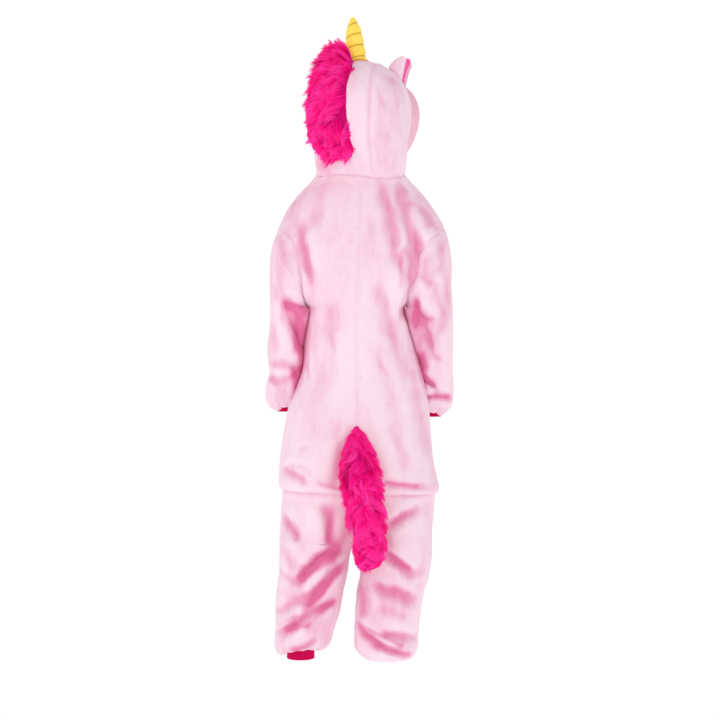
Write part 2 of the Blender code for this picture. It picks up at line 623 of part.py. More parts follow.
class Panel:
    """A cloth piece as a grid of outer points, with its wall and the way its edges meet others."""

    def __init__(self, name, grid, color, axis, wall=CLOTH_WALL, ring=False, closed_from=None):
        self.name, self.grid, self.color, self.wall = name, np.array(grid), color, wall
        self.part = "body" if name.startswith(("back", "front")) else name.split("_")[0]
        self.ring, self.closed_from = ring, closed_from
        self.normals = grid_normals(self.grid, ring, axis)
        if closed_from is not None:
            self.close_normals()

    def close_normals(self):
        """Below closed_from the first and last columns are one: give them one normal."""
        rows = slice(self.closed_from, None)
        both = self.normals[rows, 0] + self.normals[rows, -1]
        both /= np.linalg.norm(both, axis=-1, keepdims=True)
        self.normals[rows, 0] = both
        self.normals[rows, -1] = both
        split = self.normals[self.closed_from, 0] * (1, 0, 0) + (0, 0, -0.8)
        split /= np.linalg.norm(split)
        self.normals[self.closed_from, 0] = split
        self.normals[self.closed_from, -1] = split

    def edge_cells(self):
        """The grid places on the piece's edges, each with its neighbour inside the piece."""
        rows, columns = self.grid.shape[:2]
        cells = [((0, c), (1, c)) for c in range(columns)]
        cells += [((rows - 1, c), (rows - 2, c)) for c in range(columns)]
        if not self.ring:
            last = rows if self.closed_from is None else self.closed_from
            cells += [((r, 0), (r, 1)) for r in range(last)]
            cells += [((r, columns - 1), (r, columns - 2)) for r in range(last)]
        return cells

    def shrink(self):
        """Moves the edges in by half the seam's gap, square to the edge within the surface."""
        moved = {}
        rows, columns = self.grid.shape[:2]
        for cell, inside in self.edge_cells():
            point, normal = self.grid[cell], self.normals[cell]
            r, c = cell
            if inside[0] != r:
                before = self.grid[r, (c - 1) % columns if self.ring else max(c - 1, 0)]
                after = self.grid[r, (c + 1) % columns if self.ring else min(c + 1, columns - 1)]
            else:
                before, after = self.grid[max(r - 1, 0), c], self.grid[min(r + 1, rows - 1), c]
            way = np.cross(after - before, normal)
            way /= np.linalg.norm(way)
            if np.dot(way, self.grid[inside] - point) < 0:
                way = -way
            moved[cell] = moved.get(cell, 0) + way * SEAM_GAP / 2
        for cell, shift in moved.items():
            self.grid[cell] = self.grid[cell] + shift

    def build(self):
        inner = self.grid - self.normals * self.wall
        rows, columns = self.grid.shape[:2]
        points = np.concatenate([self.grid.reshape(-1, 3), inner.reshape(-1, 3)])
        size = rows * columns

        def at(r, c):
            if self.ring:
                return r * columns + c % columns
            if self.closed_from is not None and c == columns - 1 and r >= self.closed_from:
                return r * columns
            return r * columns + c

        spans = columns if self.ring else columns - 1
        faces = []
        for r in range(rows - 1):
            for c in range(spans):
                quad = [at(r, c), at(r, c + 1), at(r + 1, c + 1), at(r + 1, c)]
                for triangle in shorter_split(points, quad):
                    faces.append(triangle)
                    faces.append([size + v for v in reversed(triangle)])
        rims = []
        for c in range(spans):
            rims.append((at(0, c + 1), at(0, c)))
            rims.append((at(rows - 1, c), at(rows - 1, c + 1)))
        if not self.ring:
            last = rows - 1 if self.closed_from is None else self.closed_from
            rims += [(at(r, 0), at(r + 1, 0)) for r in range(last)]
            rims += [(at(r + 1, columns - 1), at(r, columns - 1)) for r in range(last)]
        for start, end in rims:
            faces += shorter_split(points, [start, end, size + end, size + start])
        return solid(self.name, points, faces, self.color)


def unit(vector):
    return vector / max(np.linalg.norm(vector), 1e-9)


def seam_cells(panel):
    """A piece's edge places whose wall direction is shared; the crotch point keeps its own."""
    return {cell for cell, _ in panel.edge_cells() if cell[0] != panel.closed_from}


def share_normals(panels):
    """Where edges of different parts meet, their walls go in along one direction between them."""
    found = {}
    for panel in panels:
        for cell in seam_cells(panel):
            parts = found.setdefault(tuple(np.round(panel.grid[cell], 2)), {})
            parts[panel.part] = parts.get(panel.part, 0) + panel.normals[cell]
    for panel in panels:
        for cell in seam_cells(panel):
            parts = found[tuple(np.round(panel.grid[cell], 2))]
            panel.normals[cell] = unit(sum(unit(total) for total in parts.values()))


def material(name, color, roughness):
    made = bpy.data.materials.new(name)
    made.use_nodes = True
    shader = made.node_tree.nodes["Principled BSDF"]
    shader.inputs["Base Color"].default_value = (*color, 1)
    shader.inputs["Roughness"].default_value = roughness
    shader.inputs["Metallic"].default_value = 0
    return made


def solid(name, points, faces, color, roughness=0.9):
    """A smooth-shaded object from millimetre points, without points that no face uses."""
    used = sorted({v for face in faces for v in face})
    number = {old: new for new, old in enumerate(used)}
    mesh = bpy.data.meshes.new(name)
    mesh.from_pydata(
        [tuple(points[v] * MM) for v in used], [], [[number[v] for v in face] for face in faces]
    )
    mesh.materials.append(material(name + "_material", color, roughness))
    mesh.shade_smooth()
    mesh.set_sharp_from_angle(angle=radians(50))
    made = bpy.data.objects.new(name, mesh)
    bpy.context.scene.collection.objects.link(made)
    volume = 0
    mesh.calc_loop_triangles()
    for triangle in mesh.loop_triangles:
        a, b, c = (mesh.vertices[v].co for v in triangle.vertices)
        volume += a.dot(b.cross(c))
    if volume < 0:
        mesh.flip_normals()
    return made


def capped(name, rings, first, last, color):
    """A closed body through rings of points, with a point at each end."""
    rings = np.array(rings)
    rows, sides = rings.shape[:2]
    points = np.concatenate([rings.reshape(-1, 3), [first, last]])
    faces = []
    for r in range(rows - 1):
        for c in range(sides):
            d = (c + 1) % sides
            faces.append([r * sides + c, r * sides + d, (r + 1) * sides + d, (r + 1) * sides + c])
    for c in range(sides):
        d = (c + 1) % sides
        faces.append([rows * sides, d, c])
        faces.append([rows * sides + 1, (rows - 1) * sides + c, (rows - 1) * sides + d])
    return solid(name, points, faces, color)


def body_axis(row):
    return np.array([[0.0, 0.0, p[2]] for p in row])


def middle_of(row):
    return np.tile(row.mean(axis=0), (len(row), 1))


def hood_middle(row):
    return np.tile(HOOD_MIDDLE, (len(row), 1))


def garment_panels():
    """The sewn cloth pieces, whose edges share their points before the seams' gaps are made."""
    panels = []
    for side, word, leg_rows, sleeve_rows in (
        (1, "left", LEFT_LEG, LEFT_SLEEVE),
        (-1, "right", RIGHT_LEG, RIGHT_SLEEVE),
    ):
        back, front = body_side(side)
        hem = np.concatenate([back[-1], front[-1, -2::-1]])
        panels.append(Panel(f"back_{word}", back, PALE_PINK, body_axis))
        panels.append(Panel(f"front_{word}", front, PALE_PINK, body_axis))
        leg = leg_grid(leg_rows, side, hem)
        crotch = row_number(leg_rows, CROTCH)
        panels.append(Panel(f"leg_{word}", leg, PALE_PINK, middle_of, closed_from=crotch))
        sleeve = sleeve_grid(sleeve_rows, side, armhole_loop(back, front))
        panels.append(Panel(f"sleeve_{word}", sleeve, PALE_PINK, middle_of, ring=True))
    neck, both = neck_seam()
    hood = hood_grid(HOOD, neck, both)
    middle = len(both) // 2
    strip = slice(middle - GUSSET_COLUMNS, middle + GUSSET_COLUMNS + 1)
    right = hood[:, : middle - GUSSET_COLUMNS + 1]
    left = hood[:, middle + GUSSET_COLUMNS :]
    panels.append(Panel("hood_centre", hood[:, strip], PALE_PINK, hood_middle))
    panels.append(Panel("hood_side_left", left, PALE_PINK, hood_middle))
    panels.append(Panel("hood_side_right", right, PALE_PINK, hood_middle))
    brim = hood_grid(BRIM, None, both)
    brim[0] = hood[-1]
    panels.append(Panel("hood_brim", brim[:, :-1], DEEP_PINK, hood_middle, ring=True))
    return panels


def make_mane():
    rows = []
    shares = np.linspace(0, len(MANE) - 1, 2 * len(MANE) - 1)
    table = np.array(MANE, float)
    for number, at in enumerate(shares):
        share, start, end, height = (
            np.interp(at, range(len(MANE)), column) for column in table.T
        )
        ring = []
        for c in range(MANE_COLUMNS + 1):
            t = c / MANE_COLUMNS
            point, normal = hood_at(share, radians(start + (end - start) * t))
            lock = MANE_LOCK * sin(2.6 * number + 5.5 * t) * sin(pi * t)
            skew = t**MANE_SKEW
            bulge = (4 * skew * (1 - skew)) ** 0.55
            side = np.array([0.7, 0, -0.2]) * height * 0.35 * t * t
            stand = REST_GAP + 1.2 + (height + lock) * bulge
            ring.append(point + normal * stand + side * bulge)
        for c in range(MANE_COLUMNS - 1, 0, -1):
            t = c / MANE_COLUMNS
            point, normal = hood_at(share, radians(start + (end - start) * t))
            ring.append(point + normal * (REST_GAP + 0.5))
        rows.append(ring)
    ends = [np.mean(rows[0], axis=0), np.mean(rows[-1], axis=0)]
    return capped("mane", rows, ends[0], ends[1], HOT_PINK)


def make_tail():
    rows = []
    shares = np.linspace(0, len(TAIL) - 1, 2 * len(TAIL) - 1)
    table = np.array(TAIL, float)
    for number, at in enumerate(shares):
        z, left, right, near, deep = (
            np.interp(at, range(len(TAIL)), column) for column in table.T
        )
        ring = []
        for c in range(TAIL_SIDES):
            angle = 2 * pi * c / TAIL_SIDES
            across, ahead = cos(angle), sin(angle)
            lock = TAIL_LOCK * sin(2.2 * number + 3 * angle) * min(1, deep / 30)
            lock = lock if ahead > -0.2 else 0
            x = (left + right) / 2 + ((left - right) / 2 + lock) * across
            y = near + deep / 2 + (deep / 2 + lock) * ahead
            ring.append((x, y, z))
        rows.append(ring)
    first = np.mean(rows[0], axis=0) + (0, 0, 1.5)
    last = np.mean(rows[-1], axis=0) - (0, 0, 4)
    return capped("tail", rows, first, last, HOT_PINK)


def make_horn():
    """A stuffed cone with a thread wound round it, which puffs the cloth between its turns."""
    foot = np.array([*HORN_BASE, hood_over(*HORN_BASE)])
    tip = np.array(HORN_TIP, float)
    axis = (tip - foot) / np.linalg.norm(tip - foot)
    first = np.cross(axis, (0, 1, 0))
    first /= np.linalg.norm(first)
    second = np.cross(axis, first)
    height = np.linalg.norm(tip - foot)
    rows = []
    for number in range(HORN_ROWS + 1):
        share = number / HORN_ROWS
        ring = []
        for c in range(HORN_SIDES):
            angle = 2 * pi * c / HORN_SIDES
            wound = abs(sin(pi * (HORN_TURNS * share - angle / (2 * pi)))) ** 0.5
            puff = 1 - HORN_PUFF * (1 - wound)
            radius = HORN_RADIUS + (HORN_TIP_RADIUS - HORN_RADIUS) * share**1.6
            radius += HORN_FLARE * (1 - min(1, share / 0.12)) ** 2
            radius *= min(1, 3.4 * (1.06 - share)) ** 0.5
            out = (first * cos(angle) + second * sin(angle)) * radius * puff
            point = foot + axis * height * share * 0.98 + out
            if number == 0:
                rim = (HORN_RADIUS + HORN_FLARE) * 0.98
                point = foot + (first * cos(angle) + second * sin(angle)) * rim
                point[2] = hood_over(point[0], point[1]) + REST_GAP + 0.3
            elif number < 4:
                low = hood_over(point[0], point[1]) + REST_GAP + number * 2.4
                point[2] = max(point[2], low)
            ring.append(point)
        rows.append(ring)
    bottom = foot + (0, 0, REST_GAP + 0.5)
    return capped("horn", rows, bottom, tip, YELLOW)


def ear_grid(side):
    """The outer points of an ear: a bowed strip that stands on the hood and ends in a rounded rim."""
    table = np.array(EAR, float)
    share, angle, rise, lean, back = table.T
    grid = []
    for r in range(EAR_ROWS + 1):
        t = r / EAR_ROWS
        row = []
        for c in range(len(table)):
            point, normal = hood_at(share[c], side * radians(angle[c]))
            up = np.array([0.15 * side, 0, 0.98])
            out = np.array([side, 0, 0])
            bulge = sin(pi * t) * 2.5
            row.append(
                point
                + normal * (REST_GAP + 0.5) * (1 - t)
                + up * rise[c] * t
                + out * (lean[c] * t * t)
                + np.array([0, 1.0, 0]) * (back[c] * t + bulge * np.sign(0.835 - share[c]))
            )
        grid.append(row)
    return np.array(grid)


def make_ears():
    made = []
    for side, word in ((1, "left"), (-1, "right")):
        grid = ear_grid(side)
        outer = Panel(f"ear_outer_{word}", grid, PALE_PINK, lambda row: row + (side * 30, 0, 0))
        made.append(outer.build())
        inset = outer.grid - outer.normals * (CLOTH_WALL + 0.35)
        inset = inset[:, 1:-1]
        lining = Panel(
            f"ear_lining_{word}",
            inset,
            ORCHID,
            lambda row: row + (side * 30, 0, 0),
            wall=EAR_LINING_WALL,
        )
        made.append(lining.build())
    return made


def make_cuffs():
    for cuff in CUFFS:
        rows = []
        for z in np.linspace(cuff.top, cuff.bottom, 3):
            angle = np.arange(CUFF_SIDES) * 2 * pi / CUFF_SIDES
            x = cuff.x + cuff.half_x * rounded(np.cos(angle), 2.1)
            y = cuff.y + cuff.half_y * rounded(np.sin(angle), 2.1)
            rows.append(np.stack([x, y, np.full_like(x, z)], axis=-1))
        Panel(cuff.name, rows, CRIMSON, middle_of, wall=KNIT_WALL, ring=True).build()


def band_points(front_left, front_right):
    """The middle of the front at each row, and points half a band's width to each side of it."""
    rows = []
    for left, right in zip(front_left, front_right):
        row = []
        for x in (-BAND_HALF, -BAND_HALF / 2, 0, BAND_HALF / 2, BAND_HALF):
            near, far = (left if x >= 0 else right)[:2]
            row.append(near + (far - near) * abs(x) / abs(far[0] - near[0]))
        rows.append(row)
    rows = np.array(rows)
    return rows[rows[:, 2, 2] > BAND_BOTTOM]


def make_band():
    under = band_points(body_side(1)[1], body_side(-1)[1])
    under[0] = (under[0] + under[1]) / 2
    flat = grid_normals(under, False, body_axis)
    over = under + flat * (BAND_REST + BAND_WALL)
    band = Panel("button_band", over, PALE_PINK, body_axis, wall=BAND_WALL)
    band.build()
    middle, facing = band.grid[:, 2], band.normals[:, 2]
    for number, height in enumerate(BUTTON_HEIGHTS):
        order = np.argsort(middle[:, 2])
        heights = middle[order, 2]
        place = np.array([np.interp(height, heights, middle[order, k]) for k in range(3)])
        normal = np.array([np.interp(height, heights, facing[order, k]) for k in range(3)])
        make_button(f"button_{number + 1}", place, normal / np.linalg.norm(normal))


def make_button(name, place, normal):
    """A disc with a rounded rim, lying on the band."""
    across = np.cross(normal, (0, 0, 1))
    across /= np.linalg.norm(across)
    up = np.cross(normal, across)
    rows = []
    for share, height in ((0.86, 0), (1, 0.3), (1, 0.7), (0.8, 1)):
        ring = []
        for c in range(BUTTON_SIDES):
            angle = 2 * pi * c / BUTTON_SIDES
            out = (across * cos(angle) + up * sin(angle)) * BUTTON_RADIUS * share
            ring.append(place + out + normal * (REST_GAP + BUTTON_THICK * height))
        rows.append(ring)
    bottom = place + normal * REST_GAP
    top = place + normal * (REST_GAP + BUTTON_THICK * 0.88)
    capped(name, rows, bottom, top, DEEP_PINK)


def main():
    for old in list(bpy.data.objects):
        bpy.data.objects.remove(old)
    panels = garment_panels()
    share_normals(panels)
    for panel in panels:
        panel.shrink()
        panel.build()
    make_cuffs()
    make_mane()
    make_tail()
    make_horn()
    make_ears()
    make_band()


main()
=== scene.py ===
"""Looks of a child's hooded plush onesie with horn, ears, fur mane and fur tail, round its solids.

The wearer faces -Y, +X is the wearer's left and +Z is up; the origin is the neck seam's middle.
The tables are in millimetres, and MM turns them into metres when a mesh is made. Cloth pieces are
walls through the sections of the tables, with finer creases, seams and gathers than the solids.
"""
from collections import namedtuple
from functools import lru_cache
from math import cos, pi, radians, sin

import bpy
import numpy as np
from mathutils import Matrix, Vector


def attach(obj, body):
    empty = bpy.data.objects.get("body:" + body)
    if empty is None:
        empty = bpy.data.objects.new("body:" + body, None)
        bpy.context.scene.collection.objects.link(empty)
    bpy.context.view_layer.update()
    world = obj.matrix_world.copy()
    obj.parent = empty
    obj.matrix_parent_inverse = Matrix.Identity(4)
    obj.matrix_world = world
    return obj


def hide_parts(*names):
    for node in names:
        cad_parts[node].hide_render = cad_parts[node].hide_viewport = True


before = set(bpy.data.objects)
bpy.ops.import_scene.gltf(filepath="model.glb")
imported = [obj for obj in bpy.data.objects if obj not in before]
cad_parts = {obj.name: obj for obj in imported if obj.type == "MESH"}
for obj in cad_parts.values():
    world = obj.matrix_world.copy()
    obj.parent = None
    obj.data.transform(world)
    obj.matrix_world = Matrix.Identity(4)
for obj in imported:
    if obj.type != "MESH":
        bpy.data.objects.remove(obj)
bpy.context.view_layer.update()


def rows_of(kind, text):
    """A table from lines of numbers, whose fields come in the order that kind names them."""
    return [kind(*map(float, line.split())) for line in text.strip().splitlines()]


MM = 0.001

# Grids have SCALE rows or columns for each one of the tables; the hood under the fur has FINE.
SCALE, FINE = 5, 6
QUARTER_COLUMNS, GUSSET_COLUMNS, GUSSET_ANGLE = 9, 2, 14.5
EDGE_STEPS = (0.28, 0.62)
CLOTH_WALL, KNIT_WALL, EAR_LINING_WALL = 2.5, 2.2, 1.6
SEAM_GAP, REST_GAP = 0.1, 0.4

# The pose: the seat hangs lower on one side, the hood is turned with the head, the back of the neck
# seam is drawn down by (x, drop), and the sleeves lie against the body below the armpits.
HEM_TILT, HEM_TILT_HEIGHT, HEM_TILT_SPREAD = 0.025, -590, 150
HOOD_TURN, HOOD_TURN_FROM, HOOD_TURN_TO = 6.0, 5, 80
HOOD_MIDDLE = (0.0, -10.0, 80.0)
SEAM_WAVE = 26
NECK_WAVE = [
    (-92, 6), (-82, 6.5), (-48, 8.5), (-30, 8), (-4, 4), (14, 1.5), (58, 2), (84, 9), (94, 8)
]
EASE_HEIGHT, EASE_REACH, EASE_SPREAD, EASE_WIDTH = -240, 38, 46, 92
NESTLE_TOP, NESTLE_GAP, NESTLE_MOST, NESTLE_PASSES = -243, -0.6, 14.0, 3

# Worn cloth: each row of lumps has a height, a size and a seed. Seams are dips with a low ridge
# beside them, and the last rows of sleeves and legs are gathered.
LUMPS = [(1.5, (85, 85, 130), 5), (0.8, (34, 34, 52), 6), (0.3, 13, 7)]
SEAM_DIP, SEAM_REACH = 1.3, 3.4
SEAM_RIDGE, SEAM_RIDGE_AT, SEAM_RIDGE_REACH = 0.55, 9, 5
PUCKER, PUCKER_REACH = 0.9, 11
GATHER, GATHER_AT, GATHER_REACH = 1.3, 24, 15
LEG_GATHERS, SLEEVE_GATHERS = 15, 11

# Painted shade: how deep the plush's colour is in folds, inside, below the armpits and in spots;
# paler on ridges.
FOLD_SHADE, RIDGE_SHADE, INSIDE_PAINTED_SHADE = 7.0, 6.0, 0.35
TUCK_SHADE, TUCK_TOP, TUCK_BOTTOM = 0.9, -238, -440
PAINTED_SHADE_EDGE = 1.6

# A lock has FUR_DENSITY ribbons of FUR_POINTS pairs of points; FUR_LOOSE of them aren't gathered.
MANE_LOCKS, TAIL_LOCKS, FUR_DENSITY = 520, 520, 36
FUR_POINTS, FUR_WIDTH, FUR_SPREAD, FUR_LOOSE = 6, 1.1, 4.8, 0.16
MANE_SKEW, MANE_COLUMNS, TAIL_COLUMNS = 0.72, 25, 41

HORN_BASE, HORN_TIP = (8, -17), (14, -33, 307)
HORN_RADIUS, HORN_FLARE, HORN_TIP_RADIUS, HORN_PUFF = 22.0, 4.0, 10.0, 0.17
HORN_ROWS, HORN_SIDES, HORN_RESTS = 96, 96, 24
HORN_WINDS, HORN_START, HORN_THREAD = 3.85, 0.5, 0.62
EAR_SCALE, EAR_SEAT = 5, -1.0
CUFF_COLUMNS, CUFF_ROWS, CUFF_POWER, RIBS, RIB_DEPTH = 240, 14, 2.1, 46, 0.45
BAND_HALF, BAND_WALL, BAND_REST, BAND_BOTTOM, BAND_COLUMNS = 14, 1.6, 0.9, -470, 29
STITCH, STITCH_STEP, STITCH_RADIUS, STITCH_EDGE, STITCH_POINTS = 2.7, 3.7, 0.3, 0.8, 900
BUTTON_HEIGHTS = (-75, -165, -255, -345, -435)
BUTTON_RADIUS, BUTTON_THICK, BUTTON_SIDES, BUTTON_FACE = 8, 3.2, 72, 0.72
BUTTON_HOLE, HOLE_RADIUS, HOLE_DEPTH, HOLE_EDGE = 1.7, 0.95, 1.5, 0.1
# A button's rim from its back over its edge, as shares of its radius and its thickness.
BUTTON_RIM = [
    (0, 0), (0.86, 0), (0.97, 0.12), (1, 0.35), (1, 0.65), (0.96, 0.9), (0.88, 1), (0.8, 0.97),
    (0.72, 0.78),
]

# Colours are linear. The stops of the plush run from a painted highlight, where the nap shines, to
# painted shade at the bottom of a fold.
BODY_STOPS = [
    (0.0, (0.92, 0.735, 0.82)),
    (0.32, (0.885, 0.65, 0.75)),
    (0.60, (0.83, 0.43, 0.58)),
    (1.0, (0.72, 0.12, 0.31)),
]
BRIM_STOPS = [
    (0.0, (0.88, 0.57, 0.68)),
    (0.32, (0.83, 0.45, 0.57)),
    (0.62, (0.77, 0.33, 0.46)),
    (1.0, (0.68, 0.18, 0.31)),
]
LINING_STOPS = [
    (0.0, (0.95, 0.32, 0.58)),
    (0.32, (0.92, 0.16, 0.46)),
    (0.62, (0.88, 0.06, 0.34)),
    (1.0, (0.80, 0.02, 0.24)),
]
FUR_STOPS = [(0.0, (0.66, 0.0, 0.18)), (0.4, (0.97, 0.0, 0.33)), (0.9, (1.0, 0.07, 0.54))]
HORN_STOPS = [(0.0, (0.98, 0.78, 0.17)), (0.5, (0.97, 0.66, 0.045)), (1.0, (0.88, 0.48, 0.01))]
KNIT_STOPS = [(0.0, (0.74, 0.0, 0.13)), (0.5, (0.63, 0.0, 0.085)), (1.0, (0.44, 0.0, 0.045))]
THREAD_STOPS = [(0.3, (0.42, 0.30, 0.10)), (0.7, (0.26, 0.19, 0.07))]
SEWING_STOPS = [(0.3, (0.93, 0.66, 0.77)), (0.7, (0.80, 0.48, 0.60))]
PLASTIC_STOPS = [(0.3, (0.93, 0.30, 0.52)), (0.7, (0.88, 0.24, 0.46))]
STAGE_STOPS = [(0.3, (0.50, 0.50, 0.50)), (0.7, (0.52, 0.52, 0.52))]

# Painted light: the fur, the plush and the horn glow a little in their own colour, though they are
# no lamps.
FUR_GLOW, PLUSH_GLOW, HORN_GLOW = 0.12, 0.07, 0.14

WORLD_LIGHT = 0.4
# The stage, the lights and the camera are in metres. A light has a name, a place, a target, a
# width, a height, a power and a colour.
STAGE_GLOW = 1.28
FLOOR = -0.995
STAGE_RADIUS, STAGE_TOP, STAGE_BEND, STAGE_SIDES = 6.5, 4.5, 1, 96
LIGHTS = [
    ("key", (1.9, 2.6, 2.2), (0, 0, -0.35), 1.3, 1.3, 20, (1, 0.99, 0.98)),
    ("fill", (-2.6, 3.0, 0.6), (0, 0, -0.4), 2.4, 2.4, 1.5, (1, 1, 1)),
    ("front_fill", (0, -2.3, 1.6), (0, 0, -0.3), 2.0, 1.6, 4, (1, 1, 1)),
]
CAMERA_PLACE = (0.0, 3.7, -0.3496)
CAMERA_TARGET = (0.0, 0.0, -0.3496)
CAMERA_LENS = 97.37

# A painted shade spot is a line of painted shade or, below zero, painted light from (x0, z0) to
# (x1, z1), on the back (side 1) or the front (-1) of the pieces whose names hold its key.
PaintedShade = namedtuple("PaintedShade", "side x0 z0 x1 z1 wide strength")
PAINTED_SHADES = {
    "leg_left": rows_of(PaintedShade, """
    1 51 -625 62 -683 12 0.75
    1 20 -652 51 -718 13 0.75
    1 51 -718 108 -752 10 1.15
    1 38 -744 70 -781 8 0.9
    1 70 -781 94 -803 9 0.7
    1 53 -802 97 -843 7 0.85
    1 97 -843 136 -853 6 0.7
    1 118 -824 152 -843 5 1
    1 125 -650 112 -668 9 0.6
    1 142 -780 132 -792 12 0.4
    1 80 -700 76 -880 62 0.34
    1 100 -884 128 -890 8 0.5
    """),
    "leg_right": rows_of(PaintedShade, """
    1 -50 -657 -80 -637 9 0.6
    1 -54 -676 -58 -692 9 0.7
    1 -52 -706 -90 -731 8 0.9
    1 -40 -768 -88 -784 11 0.38
    1 2 -842 -78 -880 5 1.1
    1 -6 -866 -30 -884 11 0.7
    1 -70 -884 -92 -896 8 0.7
    1 0 -730 -2 -830 11 0.55
    1 -58 -700 -50 -880 48 0.22
    """),
    "sleeve_left": rows_of(PaintedShade, """
    1 111 -262 112 -372 12 0.9
    1 134 -251 106 -262 6 1
    1 116 -268 110 -325 8 0.9
    1 138 -244 108 -254 7 0.9
    1 124 -380 118 -424 7 1.2
    1 168 -392 156 -402 10 0.5
    1 150 -120 140 -170 10 0.4
    """),
    "sleeve_right": rows_of(PaintedShade, """
    1 -103 -240 -107 -300 10 1
    1 -104 -262 -104 -286 4 1
    1 -112 -312 -122 -365 11 0.95
    1 -121 -380 -138 -398 5 1.6
    1 -130 -420 -166 -420 8 0.9
    1 -120 -264 -138 -274 8 0.5
    1 -142 -224 -152 -250 8 0.35
    1 -150 -290 -148 -380 14 0.25
    """),
    "back_right": rows_of(PaintedShade, """
    1 -78 -150 -75 -214 7 0.95
    1 -103 -60 -128 -98 13 0.6
    1 -75 -20 -94 -58 9 0.45
    1 -44 -20 -66 -110 7 0.3
    1 -104 -110 -106 -190 9 0.4
    1 -94 -300 -118 -380 9 0.35
    1 -40 -360 -48 -372 9 0.35
    1 -46 -574 -104 -583 6 0.8
    """),
    "back_left": rows_of(PaintedShade, """
    1 100 -140 91 -204 8 0.5
    1 141 -112 128 -124 11 0.45
    1 138 -72 98 -32 12 0.4
    1 88 -200 86 -330 9 0.3
    1 76 -577 38 -588 6 0.8
    1 142 -553 106 -567 6 0.5
    1 40 -470 44 -560 12 0.35
    1 40 -430 50 -330 26 -0.2
    """),
    "back": rows_of(PaintedShade, """
    1 30 -14 60 -20 16 0.3
    """),
    "hood_side_right": rows_of(PaintedShade, """
    1 -42 130 -44 70 18 0.3
    1 -30 188 -62 172 9 0.4
    1 -34 150 -40 126 7 0.45
    1 -60 178 -70 130 9 0.35
    """),
    "hood_centre": rows_of(PaintedShade, """
    1 8 196 13 150 7 0.35
    """),
    "hood_side_left": rows_of(PaintedShade, """
    1 60 6 84 22 12 0.6
    """),
    "leg": rows_of(PaintedShade, """
    -1 60 -700 96 -800 30 0.3
    -1 -40 -720 -76 -830 30 0.3
    """),
    "sleeve": rows_of(PaintedShade, """
    -1 130 -270 138 -360 14 0.5
    -1 -130 -270 -138 -360 14 0.5
    """),
}

# Each piece of the cut: its width, length and area flat, in metres, and the piece it hangs from.
Cut = namedtuple("Cut", "width length area hangs_from")

# z is the height of a section at its sides; left and right are its half widths from the centre
# line, back and front its depths, dip_back and dip_front what its ends lie above z, edge the share
# of the width that the panels cover beside an armhole, power the roundness, steps the rows to the
# next section.
Section = namedtuple(
    "Section", "z centre left right back front dip_back dip_front edge power steps"
)
BODY = rows_of(Section, """
    2 -1 85 85 60 62 -4 -46 1 2 1
    -14 -1 98 98 69 70 -4 -41 1 2 1
    -36 -1 118 119 79 79 -4 -33 1 2.05 1
    -61 -1 137 138 87 86 -3 -20 1 2.1 1
    -95 0 153 159 94 93 -1 -7 1 2.2 1
    -110 0 158 164 97 95 0 -4 0.9 2.25 1
    -126 1 157 162 99 97 0 -2 0.8 2.3 2
    -158 2 150 153 102 100 0 0 0.76 2.3 1
    -190 3 139 143 104 102 0 0 0.78 2.3 1
    -218 4 123 122 104 104 0 0 0.85 2.25 1
    -236 5 108 106 104 104 0 0 0.925 2.2 1
    -246 5 98 95 103 105 0 0 0.975 2.2 1
    -250 5 94 91 103 105 0 0 1 2.2 1
    -285 5 97 98 102 106 0 0 1 2.2 1
    -320 5 101 107 102 107 0 0 1 2.2 1
    -361 5 104 119 103 108 0 0 1 2.15 2
    -403 5 115 128 107 109 0 0 1 2.1 2
    -447 5 132 136 113 108 0 0 1 2.1 2
    -500 5 141 141 120 106 0 0 1 2.2 2
    -541 5 147 145 124 105 0 0 1 2.3 2
    -571 5 149 152 124 104 0 0 1 2.3 1
    -586 5 149 155 122 103 0 0 1 2.3 1
    -595 5 147 153 118 100 0 0 1 2.3 1
    -600 5 142 148 113 96 0 0 1 2.3 0
""")
SHOULDER_TIP, ARMPIT = 4, 12

# outer and inner are the sides of a leg's ring, middle is where its two halves meet, sag is how far
# its outer side hangs below z, and lift how far its back is drawn up above it.
LegRing = namedtuple("LegRing", "z outer middle inner back front level sag lift power steps")
LEFT_LEG = rows_of(LegRing, """
    -600 147 5 -80 113 96 0 0 0 2.3 1
    -610 147 14 -76 112 95 0 0 0 2.3 1
    -631 149 36 -62 111 95 0 0 0 2.3 1
    -662 151 58 -38 108 94 0 0 0 2.25 1
    -682 152 72 -12 105 92 2 0 0 2.2 1
    -692 153 80 5 103 91 3 0 0 2.2 1
    -712 153 85 18 99 88 4 0 0 2.2 2
    -752 154 90 24 91 82 5 0 0 2.2 2
    -790 160 96 32 84 77 6 0 0 2.2 2
    -822 162 101 38 79 73 8 0 0 2.2 2
    -858 161 106 49 74 68 10 0 0 2.2 2
    -882 163 110 54 69 62 12 2 3 2.2 1
    -896 159 112 61 63 56 13 5 7 2.15 1
    -905 147 112 75 53 46 14 5 13 2.1 1
    -903 141 112 83 46 38 14 3 15 2.1 1
    -893 139.6 112 84.4 43 36 14 0 13 2.1 0
""")
